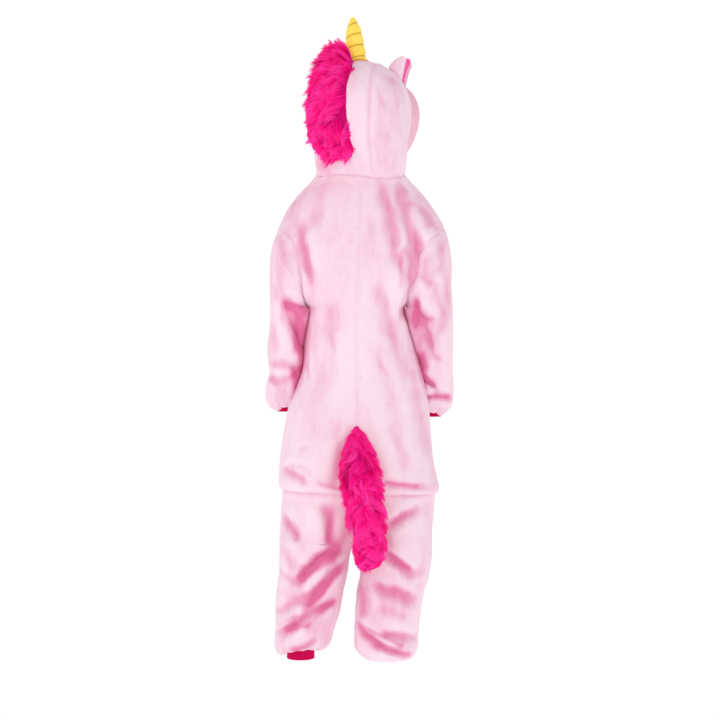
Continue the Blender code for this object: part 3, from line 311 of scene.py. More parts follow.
RIGHT_LEG = rows_of(LegRing, """
    -600 -143 5 90 113 96 0 0 0 2.3 1
    -610 -142 -4 86 112 95 0 0 0 2.3 1
    -631 -141 -26 72 111 95 0 0 0 2.3 1
    -662 -138 -46 50 108 94 0 0 0 2.25 1
    -682 -137 -60 24 105 92 2 0 0 2.2 1
    -692 -137 -68 5 103 91 3 0 0 2.2 1
    -712 -137 -70 -1 99 88 4 0 0 2.2 2
    -752 -131 -66 -1 91 82 5 0 0 2.2 2
    -790 -120 -57 6 84 77 6 0 0 2.2 2
    -826 -114 -53 9 79 73 8 0 0 2.2 2
    -860 -110 -50 11 75 69 10 0 0 2.2 2
    -888 -109 -49 12 71 64 12 0 0 2.2 1
    -903 -104 -50 4 65 58 13 0 0 2.15 1
    -912 -92 -51 -10 55 48 14 0 0 2.1 1
    -910 -82 -52 -22 46 39 14 0 0 2.1 1
    -900 -79.6 -52 -24.4 43 36 14 0 0 2.1 0
""")
CROTCH = 5
MEETING_LINE = 5

# A sleeve's ring slants: high_z and outer are its outer side, low_z and inner its side at the body.
SleeveRing = namedtuple("SleeveRing", "high_z outer low_z inner level back front steps")
LEFT_SLEEVE = rows_of(SleeveRing, """
    -118 163 -253 102 0 79 76 1
    -140 169 -260 103 0 72 70 1
    -172 172 -272 102.8 -1 64 63 1
    -208 173 -288 104.2 -4 57 57 1
    -250 173 -308 106.4 -9 52 53 1
    -291 174 -332 108.6 -16 49 50 1
    -325 178 -354 110.5 -23 48 48 1
    -352 177 -374 113 -30 46 47 1
    -372 174 -388 114 -37 44 45 1
    -395 180 -403 117 -46 43 47 1
    -420 182 -421 119.5 -57 41 48 1
    -433 178 -432 121 -65 37 44 1
    -441 170 -440 125 -69 32 36 1
    -436 161.9 -435 128.7 -69 26.5 26.5 1
    -428 161.1 -427 127.9 -69 25.6 25.6 0
""")
RIGHT_SLEEVE = rows_of(SleeveRing, """
    -118 -168 -253 -90 0 79 76 1
    -140 -172 -260 -92 0 72 70 1
    -172 -175 -272 -92.5 -1 64 63 1
    -208 -174 -288 -95.8 -4 57 57 1
    -250 -177 -308 -100.8 -9 52 53 1
    -291 -178 -332 -107.6 -16 49 50 1
    -325 -178 -354 -114 -23 48 48 1
    -352 -178 -374 -118 -30 46 47 1
    -380 -179 -396 -119 -40 44 45 1
    -405 -181 -412 -119 -50 43 47 1
    -428 -180 -430 -117 -59 42 48 1
    -442 -175 -442 -117 -66 39 45 1
    -451 -166 -451 -121.5 -71 33 38 1
    -446 -158.5 -446 -124.6 -72 26.5 26.5 1
    -438 -157.6 -438 -124.4 -72 25.6 25.6 0
""")

# A hood ring stands on the throat and reaches the crown line; half is its half width, and egg is
# how much wider it is near the crown than near the throat.
HoodRing = namedtuple("HoodRing", "throat_y throat_z crown_y crown_z half egg power steps")
HOOD = rows_of(HoodRing, """
    -62 -44 60 -2 85 0 2 1
    -65 -42 74 22 85 0 2 1
    -68 -40 86 52 87 0 2.05 1
    -70 -39 93 92 89 0 2.15 1
    -74 -37 88 146 90 0.02 2.25 2
    -78 -36 60 192 90 0.06 2.3 2
    -82 -35 14 216 90 0.14 2.3 1
    -86 -34 -38 218 89 0.22 2.25 1
    -90 -33 -80 207 88 0.32 2.15 0
""")
BRIM = rows_of(HoodRing, """
    -90 -33 -80 207 88 0.32 2.15 1
    -95 -32 -97 204 91 0.36 2.1 1
    -100 -33 -108 205 96 0.4 2.05 1
    -104 -35 -114 209 99 0.42 2 0
""")

# The mane lies on the left of the hood: its rows run from the nape, at share 0 of the hood's rows,
# over the crown; start and end are angles from the crown line, height is what the fur stands off.
ManeRow = namedtuple("ManeRow", "share start end height")
MANE = rows_of(ManeRow, """
    0.1 9 46 8
    0.15 6 54 16
    0.24 8 66 19
    0.36 9 71 18
    0.48 8 68 19
    0.59 4 58 24
    0.67 4 47 35
    0.735 6 35 41
    0.785 18 29 27
    0.82 23 27 9
""")
# The tail's rings: left and right are its sides, near is how far its inner face lies from the
# middle plane of the body and deep its thickness there.
TailRing = namedtuple("TailRing", "z left right near deep")
TAIL = rows_of(TailRing, """
    -472 9 3 116.7 6
    -486 18 -8 120.2 17
    -508 29 -23 125.5 28
    -538 39 -35 127 38
    -568 40 -41 127 42
    -594 33 -44 126 44
    -624 27 -48 126 44
    -660 22 -51 124 42
    -692 15 -49 122 38
    -715 9 -44 120 32
    -729 5 -34 119 24
    -736 -4 -18 120 10
""")
# share and angle are a place on the hood, as for the mane; rise, lean and back are how far the rim
# stands up, out and back from it.
EarPoint = namedtuple("EarPoint", "share angle rise lean back steps")
EAR = rows_of(EarPoint, """
    0.784 50 46 2 0 1
    0.788 44 43 3 1 1
    0.798 37 33 2 1 1
    0.815 31 19 0 1 1
    0.838 27 8 -1 0 1
    0.861 31 20 1 -2 1
    0.88 37 34 5 -3 1
    0.893 44 43 9 -3 1
    0.899 52 42 7 -1 0
""")

# A cuff is a straight knitted tube.
Cuff = namedtuple("Cuff", "name x y half_x half_y top bottom")
CUFFS = [
    Cuff("wrist_cuff_left", 144.5, -69, 15.4, 24.4, -426, -449),
    Cuff("wrist_cuff_right", -141, -72, 15.4, 24.4, -436, -459),
    Cuff("ankle_cuff_left", 112, 17.5, 26.1, 38.1, -877, -912),
    Cuff("ankle_cuff_right", -52, 17.5, 26.1, 38.1, -897, -911),
]

# A fold runs from (x0, z0) to (x1, z1), bowed sideways by bow, on the back (side 1) or front (-1).
# Its valley is depth deep, width wide and sharper with a lower soft; hand is the side of its ridge.
Fold = namedtuple("Fold", "side x0 z0 x1 z1 bow depth width soft hand")
BODY_FOLDS = rows_of(Fold, """
    1 -38 -23 -66 -165 6 6.6 15 1.6 1
    1 -66 -150 -74 -190 2 3.6 11 1.6 1
    1 -72 -22 -118 -158 -8 7.8 14 1.5 1
    1 -91 -140 -84 -268 10 10.8 13 1.4 -1
    1 -116 -128 -113 -170 0 4.2 9 1.5 1
    1 -128 -70 -150 -108 0 3 8 1.6 -1
    1 -120 -60 -126 -104 4 2.4 10 1.8 1
    1 108 -96 95 -190 -4 7.2 12 1.6 1
    1 70 -30 92 -110 4 3 16 2 1
    1 -36 -200 -80 -330 -6 4.2 18 1.8 1
    1 -49 -291 -97 -391 0 6 19 1.8 -1
    1 -97 -391 -128 -530 0 4.8 17 1.8 1
    1 -24 -312 -66 -430 4 3.6 20 2 1
    1 -60 -430 -84 -560 0 3.1 18 1.9 -1
    1 48 -235 66 -410 6 3.1 24 2 1
    1 57 -300 46 -338 3 2.6 7 1.5 -1
    1 102 -352 94 -385 -4 2.2 6 1.4 1
    1 22 -492 48 -585 0 6 14 1.6 1
    1 14 -470 20 -500 0 3 9 1.6 1
    1 112 -520 96 -510 2 1.9 6 1.4 1
    1 146 -562 92 -579 5 4.8 10 1.5 1
    1 142 -552 88 -563 8 3.6 9 1.7 -1
    1 -46 -578 -132 -587 0 5.4 10 1.5 -1
    1 -52 -596 -128 -602 0 2.6 7 1.5 1
    -1 60 -60 96 -190 6 6 15 1.6 1
    -1 -58 -60 -92 -200 -6 6 15 1.6 -1
    -1 100 -110 90 -180 4 3.5 11 1.6 -1
    -1 -106 -120 -90 -240 -6 4 12 1.5 1
    -1 74 -260 60 -420 8 4.5 20 1.8 1
    -1 -70 -290 -92 -450 -8 4.5 20 1.8 -1
    -1 36 -330 40 -480 -5 2.5 18 2 1
    -1 -34 -380 -46 -520 5 2.5 18 2 -1
    -1 100 -480 55 -585 6 4 15 1.6 1
    -1 -104 -500 -50 -590 -6 4 15 1.6 -1
    -1 138 -570 80 -584 4 3.5 10 1.5 1
    -1 -130 -574 -70 -588 -4 3.5 10 1.5 -1
""")
SLEEVE_FOLDS = rows_of(Fold, """
    1 139 -236 112 -330 0 10 13 1.5 -1
    1 144 -236 106 -252 -4 5.6 9 1.4 1
    1 150 -262 128 -340 5 3.8 12 1.8 1
    1 172 -353 120 -368 0 6.2 11 1.5 1
    1 177 -376 152 -395 0 5 9 1.4 -1
    1 150 -394 122 -376 0 4.4 9 1.5 1
    1 160 -160 150 -230 4 2.2 14 2 1
    1 168 -280 158 -345 0 2 12 2 -1
    -1 170 -250 128 -300 4 5 12 1.6 1
    -1 166 -200 122 -240 -4 3.5 11 1.6 -1
    -1 176 -350 126 -380 -4 4 11 1.5 1
    -1 176 -395 140 -372 3 3 9 1.5 -1
    1 -104 -240 -134 -276 -3 8.8 9 1.3 1
    1 -104 -262 -142 -326 4 7.5 12 1.5 -1
    1 -118 -300 -148 -352 0 5 11 1.5 1
    1 -117 -330 -126 -366 0 3.8 9 1.5 1
    1 -118 -368 -150 -408 0 6.9 9 1.3 -1
    1 -128 -418 -178 -422 3 5 9 1.4 1
    1 -128 -154 -136 -214 -6 4.4 12 1.7 1
    1 -108 -190 -130 -214 4 3.8 8 1.5 -1
    1 -150 -130 -142 -190 5 3.2 11 1.8 -1
    1 -164 -176 -166 -250 0 3.8 9 1.6 1
    1 -158 -250 -150 -300 4 2.8 12 1.8 1
    -1 -172 -260 -130 -306 4 5 12 1.6 1
    -1 -168 -200 -124 -236 -4 3.5 11 1.6 -1
    -1 -176 -340 -128 -384 -4 4 11 1.5 1
    -1 -176 -412 -136 -396 3 3 9 1.5 -1
""")
LEG_FOLDS = rows_of(Fold, """
    1 148 -640 112 -682 0 6.8 11 1.5 1
    1 62 -618 52 -696 0 8.1 13 1.7 -1
    1 42 -700 112 -766 -12 12.8 12 1.4 1
    1 36 -732 104 -820 -5 10.1 11 1.4 1
    1 50 -800 146 -868 -8 8.8 10 1.4 1
    1 116 -834 158 -862 0 5.4 7 1.3 -1
    1 82 -868 126 -892 3 4.7 8 1.4 1
    1 164 -827 86 -781 0 6.1 12 1.6 -1
    1 146 -700 120 -742 3 3.5 13 1.8 1
    1 156 -745 118 -762 0 3.4 10 1.7 -1
    -1 130 -660 70 -700 0 5 13 1.6 1
    -1 150 -760 60 -800 6 6 12 1.5 1
    -1 148 -712 90 -742 -5 4 12 1.6 -1
    -1 154 -850 66 -835 0 5 11 1.5 1
    -1 150 -882 84 -868 3 3.5 9 1.5 -1
    1 -50 -656 -112 -625 0 7.4 12 1.6 1
    1 -50 -708 -98 -750 0 8.8 10 1.4 1
    1 -90 -752 -128 -742 3 3.5 11 1.7 -1
    1 -22 -771 -104 -806 4 5.4 13 1.7 1
    1 -36 -808 -88 -830 4 2.2 12 1.9 -1
    1 -40 -858 -108 -868 0 6.1 10 1.6 1
    1 10 -842 -98 -905 -7 9.5 9 1.3 1
    1 -24 -880 -66 -898 3 4.1 10 1.6 1
    1 2 -762 -10 -826 3 4.1 10 1.7 1
    -1 -116 -650 -60 -690 0 5 13 1.6 1
    -1 -120 -745 -20 -790 -6 6 12 1.5 -1
    -1 -112 -700 -40 -736 4 4 12 1.6 1
    -1 -100 -850 0 -830 0 5 11 1.5 1
    -1 -98 -884 -10 -872 -3 3.5 9 1.5 -1
""")
HOOD_FOLDS = rows_of(Fold, """
    1 60 10 74 34 0 3 9 1.6 1
    1 -72 12 -60 60 4 2 12 1.9 1
    1 -30 60 -74 88 6 1.6 16 2 -1
    1 -40 150 -70 110 -5 1.8 14 2 1
""")


@lru_cache
def lattice(seed):
    return np.random.RandomState(seed).uniform(-1, 1, (32, 32, 32))


def unit(vectors):
    """Vectors, on the last axis, at length 1."""
    return vectors / np.maximum(np.linalg.norm(vectors, axis=-1, keepdims=True), 1e-9)


def smooth(share):
    """A share from 0 to 1 with a soft start and end."""
    return share * share * (3 - 2 * share)


def bell(value, reach, power=2):
    """1 where value is 0, fading out over reach to both sides."""
    return np.exp(-((value / reach) ** power))


def circle(count):
    return np.arange(count) * 2 * pi / count


def noise(points, size, seed=1):
    """Smooth noise from -1 to 1; size is the width of its lumps, one or one for each axis."""
    table = lattice(seed)
    at = points / np.asarray(size, float) + 100
    low = np.floor(at).astype(int)
    t = smooth(at - low)
    total = 0
    for i in (0, 1):
        for j in (0, 1):
            for k in (0, 1):
                corner = table[tuple(np.moveaxis(low + (i, j, k), -1, 0) % 32)]
                weight = np.abs((1 - i) - t[..., 0]) * np.abs((1 - j) - t[..., 1])
                total = total + corner * weight * np.abs((1 - k) - t[..., 2])
    return total


def fold_depth(points, facing, folds):
    """How far the folds push each point in; facing is its outward Y share."""
    depth = np.zeros(points.shape[:-1])
    wander = noise(points, 24, 3) * 0.35
    for fold in folds:
        run = np.array([fold.x1 - fold.x0, fold.z1 - fold.z0], float)
        length = np.linalg.norm(run)
        run /= length
        x, z = points[..., 0] - fold.x0, points[..., 2] - fold.z0
        along = (x * run[0] + z * run[1]) / length
        bow = fold.bow * 4 * along * (1 - along)
        across = (x * run[1] - z * run[0] - bow) / fold.width + wander
        fade = np.clip(np.minimum(along + 0.14, 1.14 - along) / 0.34, 0, 1)
        side = np.clip(fold.side * facing * 1.6, 0, 1)
        valley = np.exp(-(np.abs(across * 1.25) ** fold.soft))
        ridge = 0.42 * np.exp(-((across - 1.5 * fold.hand) ** 2) / 0.8)
        ridge += 0.16 * np.exp(-((across + 1.5 * fold.hand) ** 2) / 0.8)
        depth += fold.depth * smooth(fade) * side * (valley - ridge)
    return depth


def folded(points, outward, folds, share=1):
    depth = fold_depth(points, outward[..., 1], folds) * share
    return points - outward * depth[..., None]


def sections(rows, scale=1):
    """A table with smooth rows between its own, on curves that don't overshoot its values."""
    table = np.array(rows, float)
    steps = table[:-1, -1].astype(int) * scale
    table = table[:, :-1]
    run = np.linalg.norm(np.diff(table[:, :2], axis=0), axis=1) + 1e-6
    slope = np.diff(table, axis=0) / run[:, None]
    tangent = np.zeros_like(table)
    tangent[0], tangent[-1] = slope[0], slope[-1]
    before, after = slope[:-1], slope[1:]
    same_way = before * after > 0
    total = np.where(same_way, before + after, 1)
    tangent[1:-1] = np.where(same_way, 2 * before * after / total, 0)
    out = []
    for i, count in enumerate(steps):
        for t in np.arange(count) / count:
            out.append(
                (2 * t**3 - 3 * t**2 + 1) * table[i]
                + (t**3 - 2 * t**2 + t) * run[i] * tangent[i]
                + (3 * t**2 - 2 * t**3) * table[i + 1]
                + (t**3 - t**2) * run[i] * tangent[i + 1]
            )
    out.append(table[-1])
    return np.array(out)


def row_number(rows, section, scale=1):
    """The row of the grid at which a section of its table lies."""
    return int(scale * sum(row.steps for row in rows[:section]))


def rounded(value, power):
    return np.sign(value) * np.abs(value) ** (2 / power)


def quarter_angles(scale=1):
    """Column angles from the centre line (0) to the side (90), one at the hood's centre strip."""
    strip = np.linspace(0, GUSSET_ANGLE, GUSSET_COLUMNS * scale + 1)
    rest = (QUARTER_COLUMNS - GUSSET_COLUMNS) * scale + 1
    return np.concatenate([strip, np.linspace(GUSSET_ANGLE, 90, rest)[1:]])


def fold_share(number, count, scale):
    """Folds fade out at the gathered end of a sleeve or leg, which turns in to the cuff."""
    return min(1, max(0, (count - 1 - number) / scale - 2) / 2)


def tilted(points):
    """The seat seam and what is near it hang lower on the right side."""
    near = bell(points[..., 2] - HEM_TILT_HEIGHT, HEM_TILT_SPREAD)
    out = points.copy()
    out[..., 2] += HEM_TILT * near * points[..., 0]
    return out


def turned(points):
    """The hood follows the head, which looks a little to the right."""
    share = (points[..., 2] - HOOD_TURN_FROM) / (HOOD_TURN_TO - HOOD_TURN_FROM)
    angle = -radians(HOOD_TURN) * smooth(np.clip(share, 0, 1))
    out = points.copy()
    out[..., 0] = points[..., 0] * np.cos(angle) - points[..., 1] * np.sin(angle)
    out[..., 1] = points[..., 0] * np.sin(angle) + points[..., 1] * np.cos(angle)
    return out


def body_side(side, scale=1):
    """The outer points of one half of the body, left (1) or right (-1).

    The columns run from the centre back over the side to the centre front; the side column is
    double, because beside an armhole the back and the front end apart.
    """
    table = sections(BODY, scale)
    z, centre, left, right, back, front, dip_back, dip_front, edge, power = table.T[:, :, None]
    half = left if side > 0 else right
    power = np.maximum(power, 1)
    limit = np.arcsin(np.clip(edge, 0, 1) ** (power / 2))
    angles = np.radians(quarter_angles(scale)) / (pi / 2)
    out = []
    for end, depth, dip in ((1, back, dip_back), (-1, front, dip_front)):
        angle = angles[None, :] * limit
        across = rounded(np.sin(angle), power)
        ahead = rounded(np.abs(np.cos(angle)), power)
        ahead[np.abs(ahead) < 1e-6] = 0
        x = centre + side * half * across
        y = end * depth * ahead
        points = np.stack([x, y, z + dip * ahead**2], axis=-1)
        slope = side * across ** (power - 1) / half, end * ahead ** (power - 1) / depth
        normal = np.stack([*slope, np.zeros_like(x)], axis=-1)
        points = folded(points, unit(normal), BODY_FOLDS)
        points[:, 0, 0] = centre[:, 0]
        out.append(tilted(points))
    return out[0], out[1]


def leg_grid(rows, side, hem, scale=1):
    """The outer points of a leg, from the centre back round its outer side to the centre front.

    Above the crotch its rows are open at the meeting line; below it they close.
    """
    table = sections(rows, scale)
    angles = half_angles(scale)
    crotch = row_number(rows, CROTCH, scale)
    out = []
    for number, row in enumerate(table):
        z, outer, middle, inner, back, front, level, sag, lift, power = row
        reach = np.clip((middle - MEETING_LINE) / (middle - inner), -1, 1)
        start = pi / 2 - np.arcsin(np.abs(reach) ** (power / 2) * np.sign(reach))
        if number >= crotch:
            start = 0
        around = start + (2 * pi - 2 * start) * angles / pi
        inward = rounded(np.cos(around), power)
        ahead = rounded(np.sin(around), power)
        half = np.where(inward > 0, middle - inner, outer - middle)
        x = middle - np.abs(half) * side * inward
        y = level + np.where(ahead > 0, back, front) * ahead
        height = z + sag * inward + lift * np.maximum(ahead, 0)
        points = np.stack([x, y, height], axis=-1)
        outward = np.stack([-side * inward, ahead, np.zeros_like(x)], axis=-1)
        share = fold_share(number, len(table), scale)
        points = tilted(folded(points, unit(outward), LEG_FOLDS, share))
        if number < crotch:
            points[[0, -1], 0] = MEETING_LINE
        out.append(points)
    out[0] = hem.copy()
    grid = np.array(out)
    grid[crotch:, -1] = grid[crotch:, 0]
    grid[crotch, [0, -1], 0] = MEETING_LINE
    return grid


def sleeve_grid(rows, side, armhole, scale=1):
    """The outer points of a sleeve: the armhole's loop, then its rings, as closed rows."""
    count = len(armhole)
    table = sections(rows, scale)
    step = np.linalg.norm(np.diff(armhole, axis=0, append=armhole[:1]), axis=1)
    around = np.concatenate([[0], np.cumsum(step)])
    bottom = count // 2
    by_length = np.interp(around[:-1], around[[0, bottom, -1]], [0, pi, 2 * pi])
    even = circle(count)
    out = []
    for number, row in enumerate(table):
        high_z, outer, low_z, inner, level, back, front = row
        blend = min(1, number / (6 * scale))
        angle = by_length * (1 - blend) + even * blend
        up, ahead = np.cos(angle), np.sin(angle)
        x = (outer + inner) / 2 + (outer - inner) / 2 * rounded(up, 2.15)
        y = level + np.where(ahead > 0, back, front) * rounded(ahead, 2.15)
        z = (high_z + low_z) / 2 + (high_z - low_z) / 2 * up
        points = np.stack([x, y, z], axis=-1)
        outward = np.stack([side * up, ahead, np.zeros_like(x)], axis=-1)
        share = fold_share(number, len(table), scale)
        out.append(folded(points, outward, SLEEVE_FOLDS, share))
    lead = [armhole * (1 - t) + out[0] * t for t in np.arange(1, scale) / scale]
    return np.array([armhole] + lead + out)


def armhole_loop(back, front, scale=1):
    """The loop down the back edge of an armhole and up its front edge."""
    top, bottom = row_number(BODY, SHOULDER_TIP, scale), row_number(BODY, ARMPIT, scale)
    return np.concatenate([back[top : bottom + 1, -1], front[bottom - 1 : top : -1, -1]])


def hood_ring(row, angles):
    """The points of one hood ring; the angle runs from the crown line (0) to the throat (180)."""
    throat_y, throat_z, crown_y, crown_z, half, egg, power = row
    along = rounded(np.cos(angles), power)
    x = half * rounded(np.sin(angles), power) * (1 + egg * np.cos(angles))
    y = (throat_y + crown_y) / 2 + (crown_y - throat_y) / 2 * along
    z = (throat_z + crown_z) / 2 + (crown_z - throat_z) / 2 * along
    return np.stack([x, y, z], axis=-1)


def hood_grid(rows, neck, angles, scale=1):
    """The hood's outer points; its first row is the neck seam, whose form fades out upward."""
    table = sections(rows, scale)
    grid = np.array([hood_ring(row, angles) for row in table])
    if neck is not None:
        change = neck - grid[0]
        for number in range(len(grid)):
            grid[number] += change * (1 - number / (len(grid) - 1))
    return turned(grid)


def half_angles(scale=1):
    """Column angles, in radians, of half the hood, from the crown line (0) to the throat (pi)."""
    quarter = quarter_angles(scale)
    return np.radians(np.concatenate([quarter, 180 - quarter[-2::-1]]))


def neck_seam(scale=1):
    """The neck seam's points from the left throat over the nape to the right, and their angles."""
    halves = []
    for side in (-1, 1):
        back, front = body_side(side, scale)
        halves.append(np.concatenate([back[0], front[0, -2::-1]]))
    angles = half_angles(scale)
    return np.concatenate([halves[0][:0:-1], halves[1]]), np.concatenate([-angles[:0:-1], angles])


@lru_cache
def fine_hood():
    """The hood's outer points in fine steps, its rows' length shares and its columns' angles."""
    neck, angles = neck_seam(FINE)
    grid = hood_grid(HOOD, neck, angles, FINE)
    crown = grid[:, len(angles) // 2]
    run = np.concatenate([[0], np.cumsum(np.linalg.norm(np.diff(crown, axis=0), axis=1))])
    return grid, run / run[-1], angles


def place_on(grid, s, t):
    """Points of a grid's surface at shares s of its rows and t of its columns."""
    r = np.clip(s, 0, 1) * (len(grid) - 1)
    c = np.clip(t, 0, 1) * (grid.shape[1] - 1)
    r0 = np.minimum(r.astype(int), len(grid) - 2)
    c0 = np.minimum(c.astype(int), grid.shape[1] - 2)
    u, v = (r - r0)[..., None], (c - c0)[..., None]
    near = grid[r0, c0] * (1 - v) + grid[r0, c0 + 1] * v
    far = grid[r0 + 1, c0] * (1 - v) + grid[r0 + 1, c0 + 1] * v
    return near * (1 - u) + far * u


def hood_place(share, angle):
    """The point of the hood's outer face at a share of the crown line and an angle from it."""
    grid, run, angles = fine_hood()
    row = np.interp(share, run, np.linspace(0, 1, len(run)))
    return place_on(grid, row, np.interp(angle, angles, np.linspace(0, 1, len(angles))))


def hood_at(share, angle):
    """A point of the hood's outer face and its outward direction there."""
    point = hood_place(share, angle)
    along = hood_place(share + 0.03, angle) - hood_place(share - 0.03, angle)
    across = hood_place(share, angle + 0.08) - hood_place(share, angle - 0.08)
    normal = unit(np.cross(along, across))
    return point, normal if np.dot(normal, point - HOOD_MIDDLE) > 0 else -normal


def hood_over(x, y):
    """The height of the hood's outer face above (x, y), near the crown."""
    share, angle = 0.75, 0.0
    size_share, size_angle = 0.2, 1.2
    for _ in range(12):
        tries = [
            (share + i * size_share, angle + j * size_angle)
            for i in (-1, -0.5, 0, 0.5, 1)
            for j in (-1, -0.5, 0, 0.5, 1)
        ]
        tries = [(min(max(s, 0.02), 0.98), a) for s, a in tries]
        misses = [np.hypot(*(hood_place(s, a)[:2] - (x, y))) for s, a in tries]
        share, angle = tries[int(np.argmin(misses))]
        size_share, size_angle = size_share * 0.55, size_angle * 0.55
    return hood_place(share, angle)[2]


def grid_normals(grid, closed_rows, away_from):
    """Unit normals of a grid of points, facing away from a point at its first row."""
    along = np.gradient(grid, axis=0)
    if closed_rows:
        wrapped = np.concatenate([grid[:, -1:], grid, grid[:, :1]], axis=1)
        across = (wrapped[:, 2:] - wrapped[:, :-2]) / 2
    else:
        across = np.gradient(grid, axis=1)
    normal = unit(np.cross(along, across))
    middle = len(grid) // 3
    outward = grid[middle] - np.asarray(away_from(grid[middle]))
    return -normal if (normal[middle] * outward).sum() < 0 else normal


def edged(grid, axis):
    """The grid with extra rows just inside its first and last one, which draw the dip at a seam."""
    grid = np.moveaxis(grid, axis, 0)
    first = [grid[0] * (1 - t) + grid[1] * t for t in EDGE_STEPS]
    last = [grid[-1] * (1 - t) + grid[-2] * t for t in reversed(EDGE_STEPS)]
    return np.moveaxis(np.concatenate([grid[:1], first, grid[1:-1], last, grid[-1:]]), 0, axis)


def grid_index(rows, columns, closed=False):
    """The numbers of a grid's points; closed rows end with their first point again."""
    index = np.arange(rows * columns).reshape(rows, columns)
    return np.concatenate([index, index[:, :1]], axis=1) if closed else index


def quads_of(index):
    quads = np.stack([index[:-1, :-1], index[:-1, 1:], index[1:, 1:], index[1:, :-1]], -1)
    return quads.reshape(-1, 4)


def arc_lengths(grid, axis):
    step = np.linalg.norm(np.diff(grid, axis=axis), axis=-1)
    return np.concatenate([np.zeros_like(np.take(step, [0], axis)), np.cumsum(step, axis)], axis)


